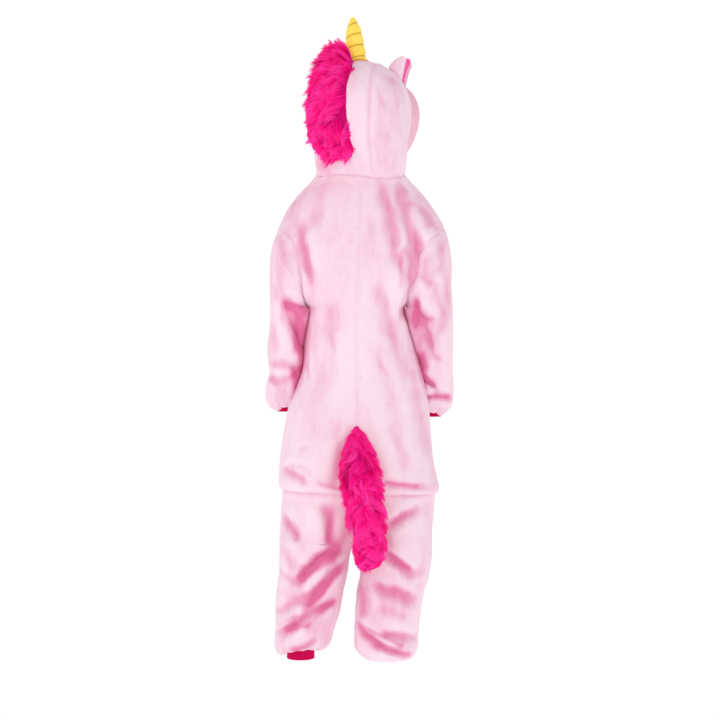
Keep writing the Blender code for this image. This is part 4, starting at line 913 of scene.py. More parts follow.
class Panel:
    """A cloth piece as a grid of outer points, with its wall and the way its edges meet others."""

    def __init__(self, name, grid, axis, wall=CLOTH_WALL, ring=False, closed_from=None, seams=(),
                 gathers=0, soft=1.0, folds=()):
        self.name, self.wall, self.ring, self.seams = name, wall, ring, seams
        self.part = "body" if name.startswith(("back", "front")) else name.split("_")[0]
        self.grid = np.array(grid)
        self.closed_from = closed_from
        self.gathers = gathers
        self.soft = soft
        self.folds = folds
        self.sunk = None
        self.normals = grid_normals(self.grid, ring, axis)
        if closed_from is not None:
            self.steady_normals()
            self.close_normals()

    def steady_normals(self):
        """Beside the crotch, where columns shift at once, normals come from the rows around it."""
        first, last = self.closed_from - 3, self.closed_from + 3
        for row in range(first + 1, last):
            share = (row - first) / (last - first)
            self.normals[row] = unit(self.normals[first] * (1 - share) + self.normals[last] * share)

    def close_normals(self):
        """Below closed_from the first and last columns are one: give them one normal."""
        ends = self.normals[self.closed_from :, [0, -1]]
        ends[:] = unit(ends.sum(axis=1, keepdims=True))
        ends[0] = unit(ends[0] * (1, 0, 0) + (0, 0, -0.8))
        self.normals[self.closed_from :, [0, -1]] = ends

    def edge_cells(self):
        """The grid places on the piece's edges, each with its neighbour inside the piece."""
        rows, columns = self.grid.shape[:2]
        cells = [((0, c), (1, c)) for c in range(columns)]
        cells += [((rows - 1, c), (rows - 2, c)) for c in range(columns)]
        if not self.ring:
            last = rows if self.closed_from is None else self.closed_from
            cells += [((r, 0), (r, 1)) for r in range(last)]
            cells += [((r, columns - 1), (r, columns - 2)) for r in range(last)]
        return cells

    def seam_distance(self):
        """How far each point is from the piece's nearest seam, and from its last row."""
        down = arc_lengths(self.grid, 0)
        across = arc_lengths(self.grid, 1)
        from_end = down[-1:] - down
        near = np.minimum(down, from_end)
        if not self.ring:
            near = np.minimum(near, np.minimum(across, across[:, -1:] - across))
        for column in self.seams:
            near = np.minimum(near, np.abs(across - across[:, column : column + 1]))
        return near, from_end

    def refine_edges(self):
        """Rows and columns are added along the edges, where the seams' dips need them."""
        self.grid = edged(self.grid, 0)
        self.normals = edged(self.normals, 0)
        if not self.ring:
            self.grid = edged(self.grid, 1)
            self.normals = edged(self.normals, 1)
        self.normals = unit(self.normals)
        if self.closed_from is not None:
            self.closed_from += len(EDGE_STEPS)

    def faint(self):
        """1 along the centre back and neck seams, which the plush nearly hides, and 0 elsewhere."""
        neck = 0.75 * bell(self.grid[..., 2], 12) * (self.part in ("body", "hood"))
        centre = bell(self.grid[..., 0], 13) * (self.grid[..., 1] > 0) * (self.part == "body")
        return np.maximum(neck, centre)

    def dress(self):
        """Adds the soft unevenness of worn cloth, the dips and puckers at seams and the gathers."""
        self.refine_edges()
        near, from_end = self.seam_distance()
        soft = sum(height * noise(self.grid, size, seed) for height, size, seed in LUMPS)
        push = self.soft * soft * np.clip(near / 14, 0.15, 1)
        seam = SEAM_RIDGE * bell(near - SEAM_RIDGE_AT, SEAM_RIDGE_REACH)
        seam -= SEAM_DIP * bell(near, SEAM_REACH)
        push += seam * (1 - 0.7 * self.faint())
        pucker = PUCKER * noise(self.grid, 8, 8) * bell(near, PUCKER_REACH)
        push += self.soft * pucker * np.clip(near / 3, 0, 1)
        if self.gathers:
            columns = self.grid.shape[1]
            around = np.arange(columns) * 2 * pi / (columns if self.ring else columns - 1)
            wave = np.cos(self.gathers * around + 2.2 * noise(self.grid, 60, 9))
            wave *= 0.6 + 0.5 * noise(self.grid, 22, 10)
            push += GATHER * wave * bell(from_end - GATHER_AT, GATHER_REACH)
            push *= np.clip((from_end - 4) / 12, 0, 1)
        self.sunk = fold_depth(self.grid, self.normals[..., 1], self.folds) - push
        self.grid = self.grid + self.normals * push[..., None]

    def tucked(self):
        """Where painted shade goes: 1 below the armpit where a sleeve and the body's side meet, 0
        elsewhere.
        """
        side = 1 if self.name.endswith("left") else -1
        z, facing = self.grid[..., 2], side * self.normals[..., 0]
        below = np.clip((TUCK_TOP - z) / 12, 0, 1) * np.clip((z - TUCK_BOTTOM) / 40, 0, 1)
        if self.part == "body":
            return below * np.clip((facing - 0.86) / 0.12, 0, 1)
        return below * np.clip((-facing - 0.4) / 0.55, 0, 1) * (self.part == "sleeve")

    def crease(self):
        """Painted shade, from below 0 (painted highlight) on ridges to 1 in deep folds, with the
        painted shade spots added.
        """
        deep = np.zeros(self.grid.shape[:2]) if self.sunk is None else self.sunk
        deep = np.where(deep > 0, deep / FOLD_SHADE, deep / RIDGE_SHADE)
        deep = deep / (1 + np.abs(deep)) * 1.4 + TUCK_SHADE * self.tucked()
        uneven = 1 + 0.3 * noise(self.grid, 26, 12)
        for spot in (spot for part in PAINTED_SHADES if part in self.name for spot in PAINTED_SHADES[part]):
            facing = np.clip(spot.side * self.normals[..., 1] * 1.6 + 0.2, 0, 1)
            x, z = self.grid[..., 0] - spot.x0, self.grid[..., 2] - spot.z0
            run = np.array([spot.x1 - spot.x0, spot.z1 - spot.z0])
            share = np.clip((x * run[0] + z * run[1]) / (run**2).sum(), 0, 1)
            off = np.hypot(x - share * run[0], z - share * run[1]) / (spot.wide * uneven)
            deep = deep + spot.strength * facing / (1 + off**2) ** PAINTED_SHADE_EDGE
        return deep

    def shrink(self):
        """Moves the edges in by half the seam's gap, square to the edge within the surface."""
        moved = {}
        rows, columns = self.grid.shape[:2]
        for cell, inside in self.edge_cells():
            point, normal = self.grid[cell], self.normals[cell]
            r, c = cell
            if inside[0] != r:
                before = self.grid[r, (c - 1) % columns if self.ring else max(c - 1, 0)]
                after = self.grid[r, (c + 1) % columns if self.ring else min(c + 1, columns - 1)]
            else:
                before, after = self.grid[max(r - 1, 0), c], self.grid[min(r + 1, rows - 1), c]
            way = unit(np.cross(after - before, normal))
            way *= SEAM_GAP / 2 * (-1 if np.dot(way, self.grid[inside] - point) < 0 else 1)
            moved[cell] = moved.get(cell, 0) + way
        for cell, shift in moved.items():
            self.grid[cell] = self.grid[cell] + shift

    def build(self, surface, slot, node=None, pushed=None):
        """The wall as a closed mesh; pushed, if given, moves the outer points out by that much."""
        crease = self.crease()
        outer = self.grid if pushed is None else self.grid + self.normals * pushed[..., None]
        inner = self.grid - self.normals * self.wall
        rows, columns = self.grid.shape[:2]
        size = rows * columns
        index = grid_index(rows, columns, self.ring)
        if self.closed_from is not None:
            index[self.closed_from :, -1] = index[self.closed_from :, 0]
        quads = quads_of(index)
        rims = [(index[0, 1:], index[0, :-1]), (index[-1, :-1], index[-1, 1:])]
        if not self.ring:
            last = rows - 1 if self.closed_from is None else self.closed_from
            rims.append((index[:last, 0], index[1 : last + 1, 0]))
            rims.append((index[1 : last + 1, -1], index[:last, -1]))
        walls = [np.stack([start, end, size + end, size + start], -1) for start, end in rims]
        faces = np.concatenate([quads, size + quads[:, ::-1], *walls])
        points = np.concatenate([outer.reshape(-1, 3), inner.reshape(-1, 3)])
        # The outer face carries its painted shade and highlight; the inner face gets an even
        # painted shade.
        values = {"crease": np.concatenate([crease.reshape(-1), np.full(size, INSIDE_PAINTED_SHADE)])}
        made = piece(self.name + "_cloth", points, faces, surface, slot, values)
        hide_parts(node or self.name)
        return made


def seam_cells(panel):
    """A piece's edge places whose wall direction is shared; the crotch point keeps its own."""
    return {cell for cell, _ in panel.edge_cells() if cell[0] != panel.closed_from}


def share_normals(panels):
    """Where edges of different parts meet, their walls go in along one direction between them."""
    found = {}
    for panel in panels:
        for cell in seam_cells(panel):
            parts = found.setdefault(tuple(np.round(panel.grid[cell], 2)), {})
            parts[panel.part] = parts.get(panel.part, 0) + panel.normals[cell]
    for panel in panels:
        for cell in seam_cells(panel):
            parts = found[tuple(np.round(panel.grid[cell], 2))]
            panel.normals[cell] = unit(sum(unit(total) for total in parts.values()))


def put(name, data):
    """A new object in the scene."""
    made = bpy.data.objects.new(name, data)
    bpy.context.scene.collection.objects.link(made)
    return made


def piece(name, points, faces, surface, slot, values=None, sharp=60):
    """A smooth-shaded object from millimetre points, without unused ones; it rides on root."""
    faces = np.asarray(faces)
    used, faces = np.unique(faces, return_inverse=True)
    faces = faces.reshape(-1, faces.shape[-1] if faces.ndim > 1 else 4)
    mesh = bpy.data.meshes.new(name)
    mesh.vertices.add(len(used))
    mesh.vertices.foreach_set("co", (np.asarray(points)[used] * MM).astype(np.float32).ravel())
    sides = faces.shape[1]
    mesh.loops.add(faces.size)
    mesh.loops.foreach_set("vertex_index", faces.astype(np.int32).ravel())
    mesh.polygons.add(len(faces))
    mesh.polygons.foreach_set("loop_start", np.arange(len(faces), dtype=np.int32) * sides)
    mesh.update(calc_edges=True)
    mesh.validate()
    for key, value in (values or {}).items():
        layer = mesh.attributes.new(key, "FLOAT", "POINT")
        layer.data.foreach_set("value", np.asarray(value)[used].astype(np.float32))
    mesh.materials.append(surface)
    mesh.shade_smooth()
    if sharp:
        mesh.set_sharp_from_angle(angle=radians(sharp))
    made = put(name, mesh)
    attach(made, "root")
    return made


def body_axis(row):
    return np.array([[0.0, 0.0, p[2]] for p in row])


def middle_of(row):
    return np.tile(row.mean(axis=0), (len(row), 1))


def hood_middle(row):
    return np.tile(HOOD_MIDDLE, (len(row), 1))


def eased(points):
    """The body's face made even over the armholes' lower ends, where the widths change at once."""
    z = points[:, 0, 2]
    common = np.linspace(0, EASE_WIDTH, 47)
    across = np.abs(points[..., 0] - points[:, :1, 0])
    depth = np.array([np.interp(common, x, row[:, 1]) for x, row in zip(across, points)])
    near = bell(z[:, None] - z[None], EASE_REACH) * np.abs(np.gradient(z))
    change = near @ depth / near.sum(axis=1, keepdims=True) - depth
    out = points.copy()
    for r, x in enumerate(across):
        share = np.clip((x[-1] - x) / 26, 0, 1) * np.clip((EASE_WIDTH - x) / 20, 0, 1)
        height = bell(z[r] - EASE_HEIGHT, EASE_SPREAD, 4)
        out[r, :, 1] += np.interp(x, common, change[r]) * smooth(share) * height
    return out


def waved(grid):
    """The back of the neck seam, with the cloth beside it, drawn down unevenly."""
    x, y, z = np.moveaxis(grid, -1, 0)
    drop = np.interp(x, *zip(*NECK_WAVE)) * np.clip(y / 40, 0, 1) * bell(z, SEAM_WAVE)
    return grid - drop[..., None] * (0, 0, 1)


def body_reach(y, z, side):
    """How far out the body's side lies at depth y and height z."""
    table = sections(BODY, 1)[::-1].T
    columns = table[[1, 2 if side > 0 else 3, 4, 5, 9]]
    centre, half, back, front, power = (np.interp(z, table[0], column) for column in columns)
    share = np.clip(np.abs(y) / np.where(y > 0, back, front), 0, 1)
    return side * centre + half * (1 - share**power) ** (1 / power)


def nestled(grid, normals, side):
    """A sleeve's inner face, bulged towards the body that it lies against."""
    x, y, z = grid[..., 0] * side, grid[..., 1], grid[..., 2]
    room = x - body_reach(y, z, side) - NESTLE_GAP
    weight = np.clip((-normals[..., 0] * side - 0.15) / 0.5, 0, 1)
    weight = weight * np.clip((NESTLE_TOP - z) / 8, 0, 1)
    push = np.clip(room, 0, NESTLE_MOST) * smooth(weight)
    for _ in range(NESTLE_PASSES):
        push = (2 * push + np.roll(push, 1, 1) + np.roll(push, -1, 1)) / 4
        push[1:-1] = (2 * push[1:-1] + push[2:] + push[:-2]) / 4
    return grid + normals * push[..., None]


def garment_panels():
    """The sewn cloth pieces, whose edges share their points before the seams' gaps are made."""
    panels = []
    for side, word, leg_rows, sleeve_rows in (
        (1, "left", LEFT_LEG, LEFT_SLEEVE),
        (-1, "right", RIGHT_LEG, RIGHT_SLEEVE),
    ):
        back, front = body_side(side, SCALE)
        hem = np.concatenate([back[-1], front[-1, -2::-1]])
        panels.append(Panel(f"back_{word}", eased(back), body_axis, folds=BODY_FOLDS))
        panels.append(Panel(f"front_{word}", eased(front), body_axis, folds=BODY_FOLDS))
        leg = leg_grid(leg_rows, side, hem, SCALE)
        crotch = row_number(leg_rows, CROTCH, SCALE)
        looks = dict(closed_from=crotch, gathers=LEG_GATHERS, folds=LEG_FOLDS)
        panels.append(Panel(f"leg_{word}", leg, middle_of, **looks))
        sleeve = sleeve_grid(sleeve_rows, side, armhole_loop(back, front, SCALE), SCALE)
        under = sleeve.shape[1] // 2
        looks = dict(ring=True, seams=(under,), gathers=SLEEVE_GATHERS, folds=SLEEVE_FOLDS)
        panels.append(Panel(f"sleeve_{word}", sleeve, middle_of, **looks))
    neck, both = neck_seam(SCALE)
    hood = hood_grid(HOOD, neck, both, SCALE)
    middle, half = len(both) // 2, GUSSET_COLUMNS * SCALE
    hood = folded(hood, grid_normals(hood, False, hood_middle), HOOD_FOLDS)
    panels.append(Panel("hood_centre", hood[:, middle - half : middle + half + 1], hood_middle))
    panels.append(Panel("hood_side_left", hood[:, middle + half :], hood_middle))
    panels.append(Panel("hood_side_right", hood[:, : middle - half + 1], hood_middle))
    brim = hood_grid(BRIM, None, both, SCALE)
    brim[0] = hood[-1]
    panels.append(Panel("hood_brim", brim[:, :-1], hood_middle, ring=True))
    for panel in panels:
        panel.grid = waved(panel.grid)
    return panels


def make_garment():
    panels = garment_panels()
    share_normals(panels)
    for panel in panels:
        panel.dress()
        if panel.part == "sleeve":
            side = 1 if panel.name.endswith("left") else -1
            panel.grid = nestled(panel.grid, panel.normals, side)
        panel.shrink()
        surface, slot = BODY_PLUSH, "body_fleece"
        if panel.name == "hood_brim":
            surface, slot = BRIM_PLUSH, "brim_fleece"
        panel.build(surface, slot)


def fur_shares(roots, tips, size, curl, rng):
    """Where ribbons run, as shares s of a surface's rows and t of its columns, and their locks."""
    locks = len(roots)
    own = np.repeat(np.arange(locks), FUR_DENSITY)
    count = len(own)
    loose = rng.uniform(size=count) < FUR_LOOSE
    spread = rng.normal(size=(count, 2)) * FUR_SPREAD / size
    start = roots[own] + spread
    gather = np.where(loose, 1.5, rng.uniform(0.05, 0.4, locks)[own])[:, None]
    end = tips[own] + spread * gather + rng.normal(size=(count, 2)) * 1.2 / size
    u = np.linspace(0, 1, FUR_POINTS)[None, :]
    swing = u * rng.uniform(3, 6, locks)[own, None] + rng.uniform(0, 6.3, locks)[own, None]
    swing = curl * np.sin(swing)
    swing = (swing - swing[:, :1]) * (0.6 + 0.4 * u)
    way = unit((end - start) * size)
    s = start[:, :1] * (1 - u) + end[:, :1] * u - swing * way[:, 1:] / size[0]
    t = start[:, 1:] * (1 - u) + end[:, 1:] * u + swing * way[:, :1] / size[1]
    return np.clip(s, -0.06, 1.02), t, u, own


def ribbons(paths, stand, u, rng):
    """Points and quads of flat ribbons that taper to their tips; stand is the way fur stands up."""
    count = len(paths)
    run = unit(np.gradient(paths, axis=1))
    side = unit(np.cross(run, stand))
    roll = rng.uniform(-0.9, 0.9, count)[:, None, None]
    side = side * np.cos(roll) + np.cross(run, side) * np.sin(roll)
    width = FUR_WIDTH * rng.uniform(0.6, 1.25, count)[:, None] * np.clip(1.15 - u**2.2, 0.12, 1)
    half = side * width[..., None] / 2
    points = np.stack([paths - half, paths + half], axis=2).reshape(-1, 3)
    first = np.arange(count)[:, None] * FUR_POINTS + np.arange(FUR_POINTS - 1)
    first = 2 * first.reshape(-1)
    return points, np.stack([first, first + 1, first + 3, first + 2], axis=-1)


def fur(name, base, outer, roots, tips, reach, stray, rng, curl, core, beyond):
    """Shaggy fur between two surfaces: locks of ribbons over a core painted dark as shade, as one
    joined mesh.

    roots and tips are shares (rows, columns) where each lock starts and ends, reach how high its
    tip stands, as a share of the way from base to outer, and stray how many mm it sticks out of
    that. core is the height of the core. Each row of beyond is an edge, as a share of an axis, and
    the way that ribbons which pass it go on.
    """
    size = np.array([arc_lengths(outer, 0)[-1].max(), arc_lengths(outer, 1)[:, -1].max()])
    s, t, u, own = fur_shares(roots, tips, size, curl, rng)
    count = len(own)
    low = rng.uniform(0.25, 0.55, count)[:, None]
    high = (reach[own] * rng.uniform(0.84, 1.04, count))[:, None]
    height = low + (high - low) * np.sin(u * pi / 2) ** 0.9
    under = place_on(base, s, t)
    gap = place_on(outer, s, t) - under
    stand = unit(gap)
    out = (stray[own] * rng.uniform(0.6, 1.2, count))[:, None] * u**2
    paths = under + gap * height[..., None] + stand * out[..., None]
    for share, axis, way in beyond:
        past = (s, t)[axis] - share
        past = np.maximum(past if share > 0.5 else -past, 0)
        paths = paths + np.array(way) * past[..., None] * size[axis]
    points, faces = ribbons(paths, stand, u, rng)
    # Each lock's own tone, made lighter (painted light) where it stands high and darker (painted
    # shade) where it lies low.
    shade = rng.normal(0.5, 0.24, len(roots)) + 0.9 * (reach - reach.mean())
    shade = np.clip(shade[own] + rng.normal(0, 0.1, count), 0, 1)
    shade = np.repeat(shade, 2 * FUR_POINTS)
    # along runs from 0 at a root to 1 at a tip; the fur's material paints shade at the roots from
    # it.
    along = np.repeat(np.tile(u, (count, 1)).reshape(-1), 2)
    rows, columns = base.shape[:2]
    middle = base + (outer - base) * core
    faces = np.concatenate([faces, quads_of(grid_index(rows, columns)) + len(points)])
    points = np.concatenate([points, middle.reshape(-1, 3)])
    # The core takes the fur's darkest colour: painted shade under the locks.
    core_painted_shade = np.zeros(rows * columns)
    values = {"shade": np.append(shade, core_painted_shade), "along": np.append(along, core_painted_shade - 0.5)}
    return piece(name, points, faces, FUR, "fur", values, sharp=None)


def between(rows):
    """A table's columns at four even steps for each of its rows."""
    table = np.array(rows, float).T
    for at in np.linspace(0, len(rows) - 1, 4 * len(rows)):
        yield [np.interp(at, range(len(rows)), column) for column in table]


def mane_surfaces():
    """The hood's face under the mane and the mane's outer face, from the nape to the crown."""
    base, outer = [], []
    for share, start, end, height in between(MANE):
        below, above = [], []
        for t in np.linspace(0, 1, MANE_COLUMNS):
            point, normal = hood_at(share, radians(start + (end - start) * t))
            skew = t**MANE_SKEW
            bulge = (4 * skew * (1 - skew)) ** 0.55
            side = np.array([0.7, 0, -0.2]) * height * 0.35 * t * t
            below.append(point + normal * (REST_GAP + 0.8))
            above.append(point + normal * (REST_GAP + 1.6 + height * bulge) + side * bulge)
        base.append(below)
        outer.append(above)
    return np.array(base), np.array(outer)


def make_mane():
    """Locks that start near the crown line and lie over to the left; lower ones also hang down."""
    rng = np.random.RandomState(21)
    base, outer = mane_surfaces()
    roots = rng.uniform((0.0, -0.01), (1.0, 0.97), (MANE_LOCKS, 2))
    length = np.array([arc_lengths(outer, 0)[-1].mean(), arc_lengths(outer, 1)[:, -1].mean()])
    low = np.clip((0.36 - roots[:, 0]) / 0.36, 0, 1)
    high = np.clip((roots[:, 0] - 0.60) / 0.20, 0, 1)
    fan = 0.30 + 1.05 * low - 0.35 * high + rng.normal(0, 0.55, MANE_LOCKS)
    run = rng.uniform(14, 28, MANE_LOCKS)
    tips = roots + np.stack([-np.sin(fan), np.cos(fan)], -1) * run[:, None] / length
    tips[:, 0] = np.maximum(tips[:, 0], rng.uniform(-0.05, 0.03, MANE_LOCKS))
    reach = np.clip(rng.normal(0.96, 0.17, MANE_LOCKS), 0.6, 1.2)
    stray = np.clip(rng.gamma(1.6, 1.8, MANE_LOCKS), 0, 8) * (1 - 0.7 * high)
    tufts = (rng.uniform(size=MANE_LOCKS) < 0.3) * np.clip((tips[:, 1] - 0.35) / 0.3, 0, 1)
    stray += tufts * rng.uniform(2, 7, MANE_LOCKS) * (1 - 0.7 * high)
    down, left, right = (0.35, 0, -0.9), (0.35, -0.4, -0.3), (-0.45, 0.15, -0.1)
    beyond = ((0, 0, down), (1, 1, left), (0, 1, right))
    made = fur("mane_fur", base, outer, roots, tips, reach, stray, rng, 2.4, 0.42, beyond)
    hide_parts("mane")


def tail_surface(share):
    """The tail's outer face, or with a smaller share a slimmer one inside it, from top to tip."""
    rows = []
    angle = np.linspace(0, 2 * pi, TAIL_COLUMNS) - pi / 2
    for z, left, right, near, deep in between(TAIL):
        x = (left + right) / 2 + (left - right) / 2 * share * np.cos(angle)
        y = near + deep / 2 + deep / 2 * share * np.sin(angle)
        rows.append(np.stack([x, y, np.full_like(x, z)], axis=-1))
    return np.array(rows)


def make_tail():
    """Locks that fall down and stand off a little, kept short on the side of the body."""
    rng = np.random.RandomState(22)
    base, outer = tail_surface(0.3), tail_surface(1.0)
    roots = rng.uniform((-0.02, 0), (0.97, 1), (TAIL_LOCKS, 2))
    length = np.array([arc_lengths(outer, 0)[-1].mean(), 95])
    fan = rng.normal(0, 0.45, TAIL_LOCKS)
    run = rng.uniform(16, 30, TAIL_LOCKS)
    tips = roots + np.stack([np.cos(fan), np.sin(fan)], -1) * run[:, None] / length
    tips[:, 0] = np.minimum(tips[:, 0], rng.uniform(0.95, 1.0, TAIL_LOCKS))
    away = np.clip(np.abs(roots[:, 1] * 2 - 1) * -2.4 + 2.0, 0, 1)
    reach = np.clip(rng.normal(0.95, 0.14, TAIL_LOCKS), 0.65, 1.02 + 0.12 * away)
    stray = away * np.clip(rng.gamma(1.5, 1.5, TAIL_LOCKS), 0, 6)
    down = (0, 0, -1)
    made = fur("tail_fur", base, outer, roots, tips, reach, stray, rng, 2.2, 0.6, ((1, 0, down),))
    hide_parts("tail")


def tube(path, radius, sides=6):
    """Points and quads of a round tube along a path, with narrow ends."""
    path = np.array(path, float)
    run = unit(np.gradient(path, axis=0))
    side = unit(np.cross(run, (0.13, 0.21, 0.97)))
    angle = circle(sides)[:, None]
    ring = side[:, None] * np.cos(angle) + np.cross(side, run)[:, None] * np.sin(angle)
    taper = np.ones((len(path), 1, 1))
    taper[[0, -1]] = 0.15
    points = (path[:, None] + ring * radius * taper).reshape(-1, 3)
    return points, quads_of(grid_index(len(path), sides, closed=True))


def joined(parts):
    """Several (points, quads) as one."""
    points, faces, offset = [], [], 0
    for some, quads in parts:
        points.append(some)
        faces.append(quads + offset)
        offset += len(some)
    return np.concatenate(points), np.concatenate(faces)


def horn_radius(share):
    """The stuffed horn's radius at a share of its height, before the thread draws it in."""
    radius = HORN_RADIUS + (HORN_TIP_RADIUS - HORN_RADIUS) * share**1.6
    radius += HORN_FLARE * (1 - np.minimum(1, share / 0.12)) ** 2
    return radius * np.minimum(1, 3.4 * (1.06 - share)) ** 0.5


def horn_grid(foot, tip):
    """The horn's outer points from its foot to its tip, and how near each is to the thread."""
    axis = unit(tip - foot)
    first = unit(np.cross(axis, (0, 1, 0)))
    second = np.cross(axis, first)
    share = np.linspace(0, 1, HORN_ROWS + 1)[:, None]
    spin = circle(HORN_SIDES)
    turn = HORN_WINDS * share - spin / (2 * pi) + HORN_START
    radius = horn_radius(share) * (1 - HORN_PUFF * (1 - np.abs(np.sin(pi * turn)) ** 0.55))
    around = np.outer(np.cos(spin), first) + np.outer(np.sin(spin), second)
    middle = foot + (tip - foot) * share[..., None]
    grid = foot + (tip - foot) * share[..., None] * 0.985 + around * radius[..., None]
    rests = [
        hood_over(*(foot + (first * cos(angle) + second * sin(angle)) * HORN_RADIUS)[:2])
        for angle in circle(HORN_RESTS)
    ]
    floor = np.interp(spin, np.arange(HORN_RESTS + 1) * 2 * pi / HORN_RESTS, rests + rests[:1])
    floor += REST_GAP + 0.6
    grid[..., 2] = np.maximum(grid[..., 2], floor + share * 40)
    near = np.abs((turn + 0.5) % 1 - 0.5)
    wrinkle = 0.45 * np.sin(spin * 17 + 3 * noise(grid, 14, 31)) * bell(near, 0.16)
    wrinkle += 0.4 * noise(grid, (9, 9, 12), 32)
    wrinkle *= np.clip(share * 12, 0, 1)
    return grid + unit(grid - middle) * wrinkle[..., None], near


def make_horn():
    """A stuffed satin cone, which a thread wound round it draws in."""
    foot = np.array([*HORN_BASE, hood_over(*HORN_BASE)])
    tip = np.array(HORN_TIP, float)
    grid, near = horn_grid(foot, tip)
    index = grid_index(*near.shape, closed=True)
    caps = [near.size, near.size + 1]
    close = [(caps[0], *index[0, c : c + 3][::-1]) for c in range(0, HORN_SIDES, 2)]
    close += [(caps[1], *index[-1, c : c + 3]) for c in range(0, HORN_SIDES, 2)]
    points = np.concatenate([grid.reshape(-1, 3), [grid[0].mean(axis=0) + (0, 0, 1.0), tip]])
    # Painted shade beside the wound thread, where the cloth is drawn in.
    values = {"crease": np.append(bell(near, 0.09), [0, 0])}
    faces = np.concatenate([quads_of(index), close])
    horn = piece("horn_cloth", points, faces, HORN, "horn_cloth", values)
    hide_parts("horn")
    closed = np.concatenate([grid, grid[:, :1]], axis=1)
    path = []
    start, end = HORN_START * 2 * pi, (HORN_WINDS + HORN_START) * 2 * pi
    for angle in np.arange(start + 0.35, end - 0.3, 0.09):
        share = (angle / (2 * pi) - HORN_START) / HORN_WINDS
        at = place_on(closed, share, angle % (2 * pi) / (2 * pi))
        path.append(at + unit(at - (foot + (tip - foot) * share)) * 0.25)
    piece("horn_thread", *tube(path, HORN_THREAD), THREAD, "horn_cloth")


def ear_grid(side):
    """The outer points of an ear: a bowed strip that stands on the hood, with a rounded rim."""
    rows = []
    for t in np.linspace(0, 1, 5 * EAR_SCALE + 1):
        row = []
        for share, angle, rise, lean, back in sections(EAR, EAR_SCALE):
            point, normal = hood_at(share, side * radians(angle))
            bow = back * t + sin(pi * t) * 2.5 * np.clip((0.835 - share) / 0.012, -1, 1)
            shift = (side * (0.15 * rise * t + lean * t * t), bow, 0.98 * rise * t)
            row.append(point + normal * EAR_SEAT * (1 - t) + shift)
        rows.append(row)
    return np.array(rows)


def make_ears():
    for side, word in ((1, "left"), (-1, "right")):

        def beside(row):
            return row + (30 * side, 0, 0)

        outer = Panel(f"ear_outer_{word}", ear_grid(side), beside, soft=0.35)
        outer.dress()
        outer.shrink()
        inset = outer.grid - outer.normals * (CLOTH_WALL + 0.35)
        lining = Panel(f"ear_lining_{word}", inset[:, 5:-5], beside, wall=EAR_LINING_WALL)
        for panel, surface in ((outer, BODY_PLUSH), (lining, LINING_PLUSH)):
            panel.build(surface, "ear_fleece")


def make_cuffs():
    """Ribbed tubes, whose ribs run along them."""
    angle = circle(CUFF_COLUMNS)
    for cuff in CUFFS:
        x = cuff.x + cuff.half_x * rounded(np.cos(angle), CUFF_POWER)
        y = cuff.y + cuff.half_y * rounded(np.sin(angle), CUFF_POWER)
        heights = np.linspace(cuff.top, cuff.bottom, CUFF_ROWS)
        rows = [np.stack([x, y, np.full_like(x, z)], axis=-1) for z in heights]
        panel = Panel(cuff.name, rows, middle_of, wall=KNIT_WALL, ring=True)
        rib = RIB_DEPTH * (np.cos(RIBS * angle + 0.7 * noise(panel.grid, 20, 41)) - 1)
        roll = 0.35 * bell(panel.grid[..., 2] - cuff.bottom, 2.2)
        panel.build(RIB_KNIT, "rib_knit", pushed=rib + roll)


def along(at, run, line):
    """Points of a line at lengths along it, or at values of another rising measure."""
    return np.stack([np.interp(at, run, column) for column in line.T], -1)


def band_points(front_left, front_right):
    """The middle of the front at each row, and points half a band's width to each side of it."""
    rows = []
    for left, right in zip(front_left, front_right):
        row = []
        for x in np.linspace(-BAND_HALF, BAND_HALF, BAND_COLUMNS):
            line = left if x >= 0 else right
            reach = np.abs(line[:, 0] - line[0, 0])
            count = int(np.argmax(reach > BAND_HALF + 6)) + 1
            row.append(along(abs(x), reach[:count], line[:count]))
        rows.append(row)
    rows = np.array(rows)
    return rows[rows[:, BAND_COLUMNS // 2, 2] > BAND_BOTTOM]


def topstitches(band):
    """The dashes of thread along a band's two edges."""
    stitches = []
    down = np.linspace(0, 1, STITCH_POINTS)
    arch = (-0.45 + 0.35 * np.sin(np.linspace(0, pi, 5)))[:, None]
    for edge in (-STITCH_EDGE, STITCH_EDGE):
        across = np.full(STITCH_POINTS, (edge + 1) / 2)
        line, out = place_on(band.grid, down, across), place_on(band.normals, down, across)
        run = np.append(0, np.cumsum(np.linalg.norm(np.diff(line, axis=0), axis=1)))
        for start in np.arange(3, run[-1] - 4, STITCH_STEP):
            at = start + np.linspace(0, STITCH, 5)
            path = along(at, run, line) + along(at, run, out) * arch
            stitches.append(tube(path, STITCH_RADIUS, 5))
    return joined(stitches)


def make_band():
    """The placket over the front, with a row of topstitches along each edge, and its buttons."""
    under = band_points(body_side(1, SCALE)[1], body_side(-1, SCALE)[1])[2:]
    over = under + grid_normals(under, False, body_axis) * (BAND_REST + BAND_WALL)
    band = Panel("button_band", over, body_axis, wall=BAND_WALL)
    across = np.linspace(-1, 1, BAND_COLUMNS)[None]
    groove = -0.45 * bell(np.abs(across) - STITCH_EDGE, 0.09)
    groove = groove + 0.35 * noise(band.grid, 16, 51) * (1 - across**2)
    made = band.build(BODY_PLUSH, "body_fleece", pushed=np.clip(groove, -0.5, 0.6))
    piece("band_stitches", *topstitches(band), SEWING, "body_fleece")
    order = np.argsort(band.grid[:, BAND_COLUMNS // 2, 2])
    middle = band.grid[order, BAND_COLUMNS // 2]
    facing = band.normals[order, BAND_COLUMNS // 2]
    for number, height in enumerate(BUTTON_HEIGHTS):
        at, normal = along(height, middle[:, 2], middle), along(height, middle[:, 2], facing)
        make_button(f"button_{number + 1}", at, unit(normal))


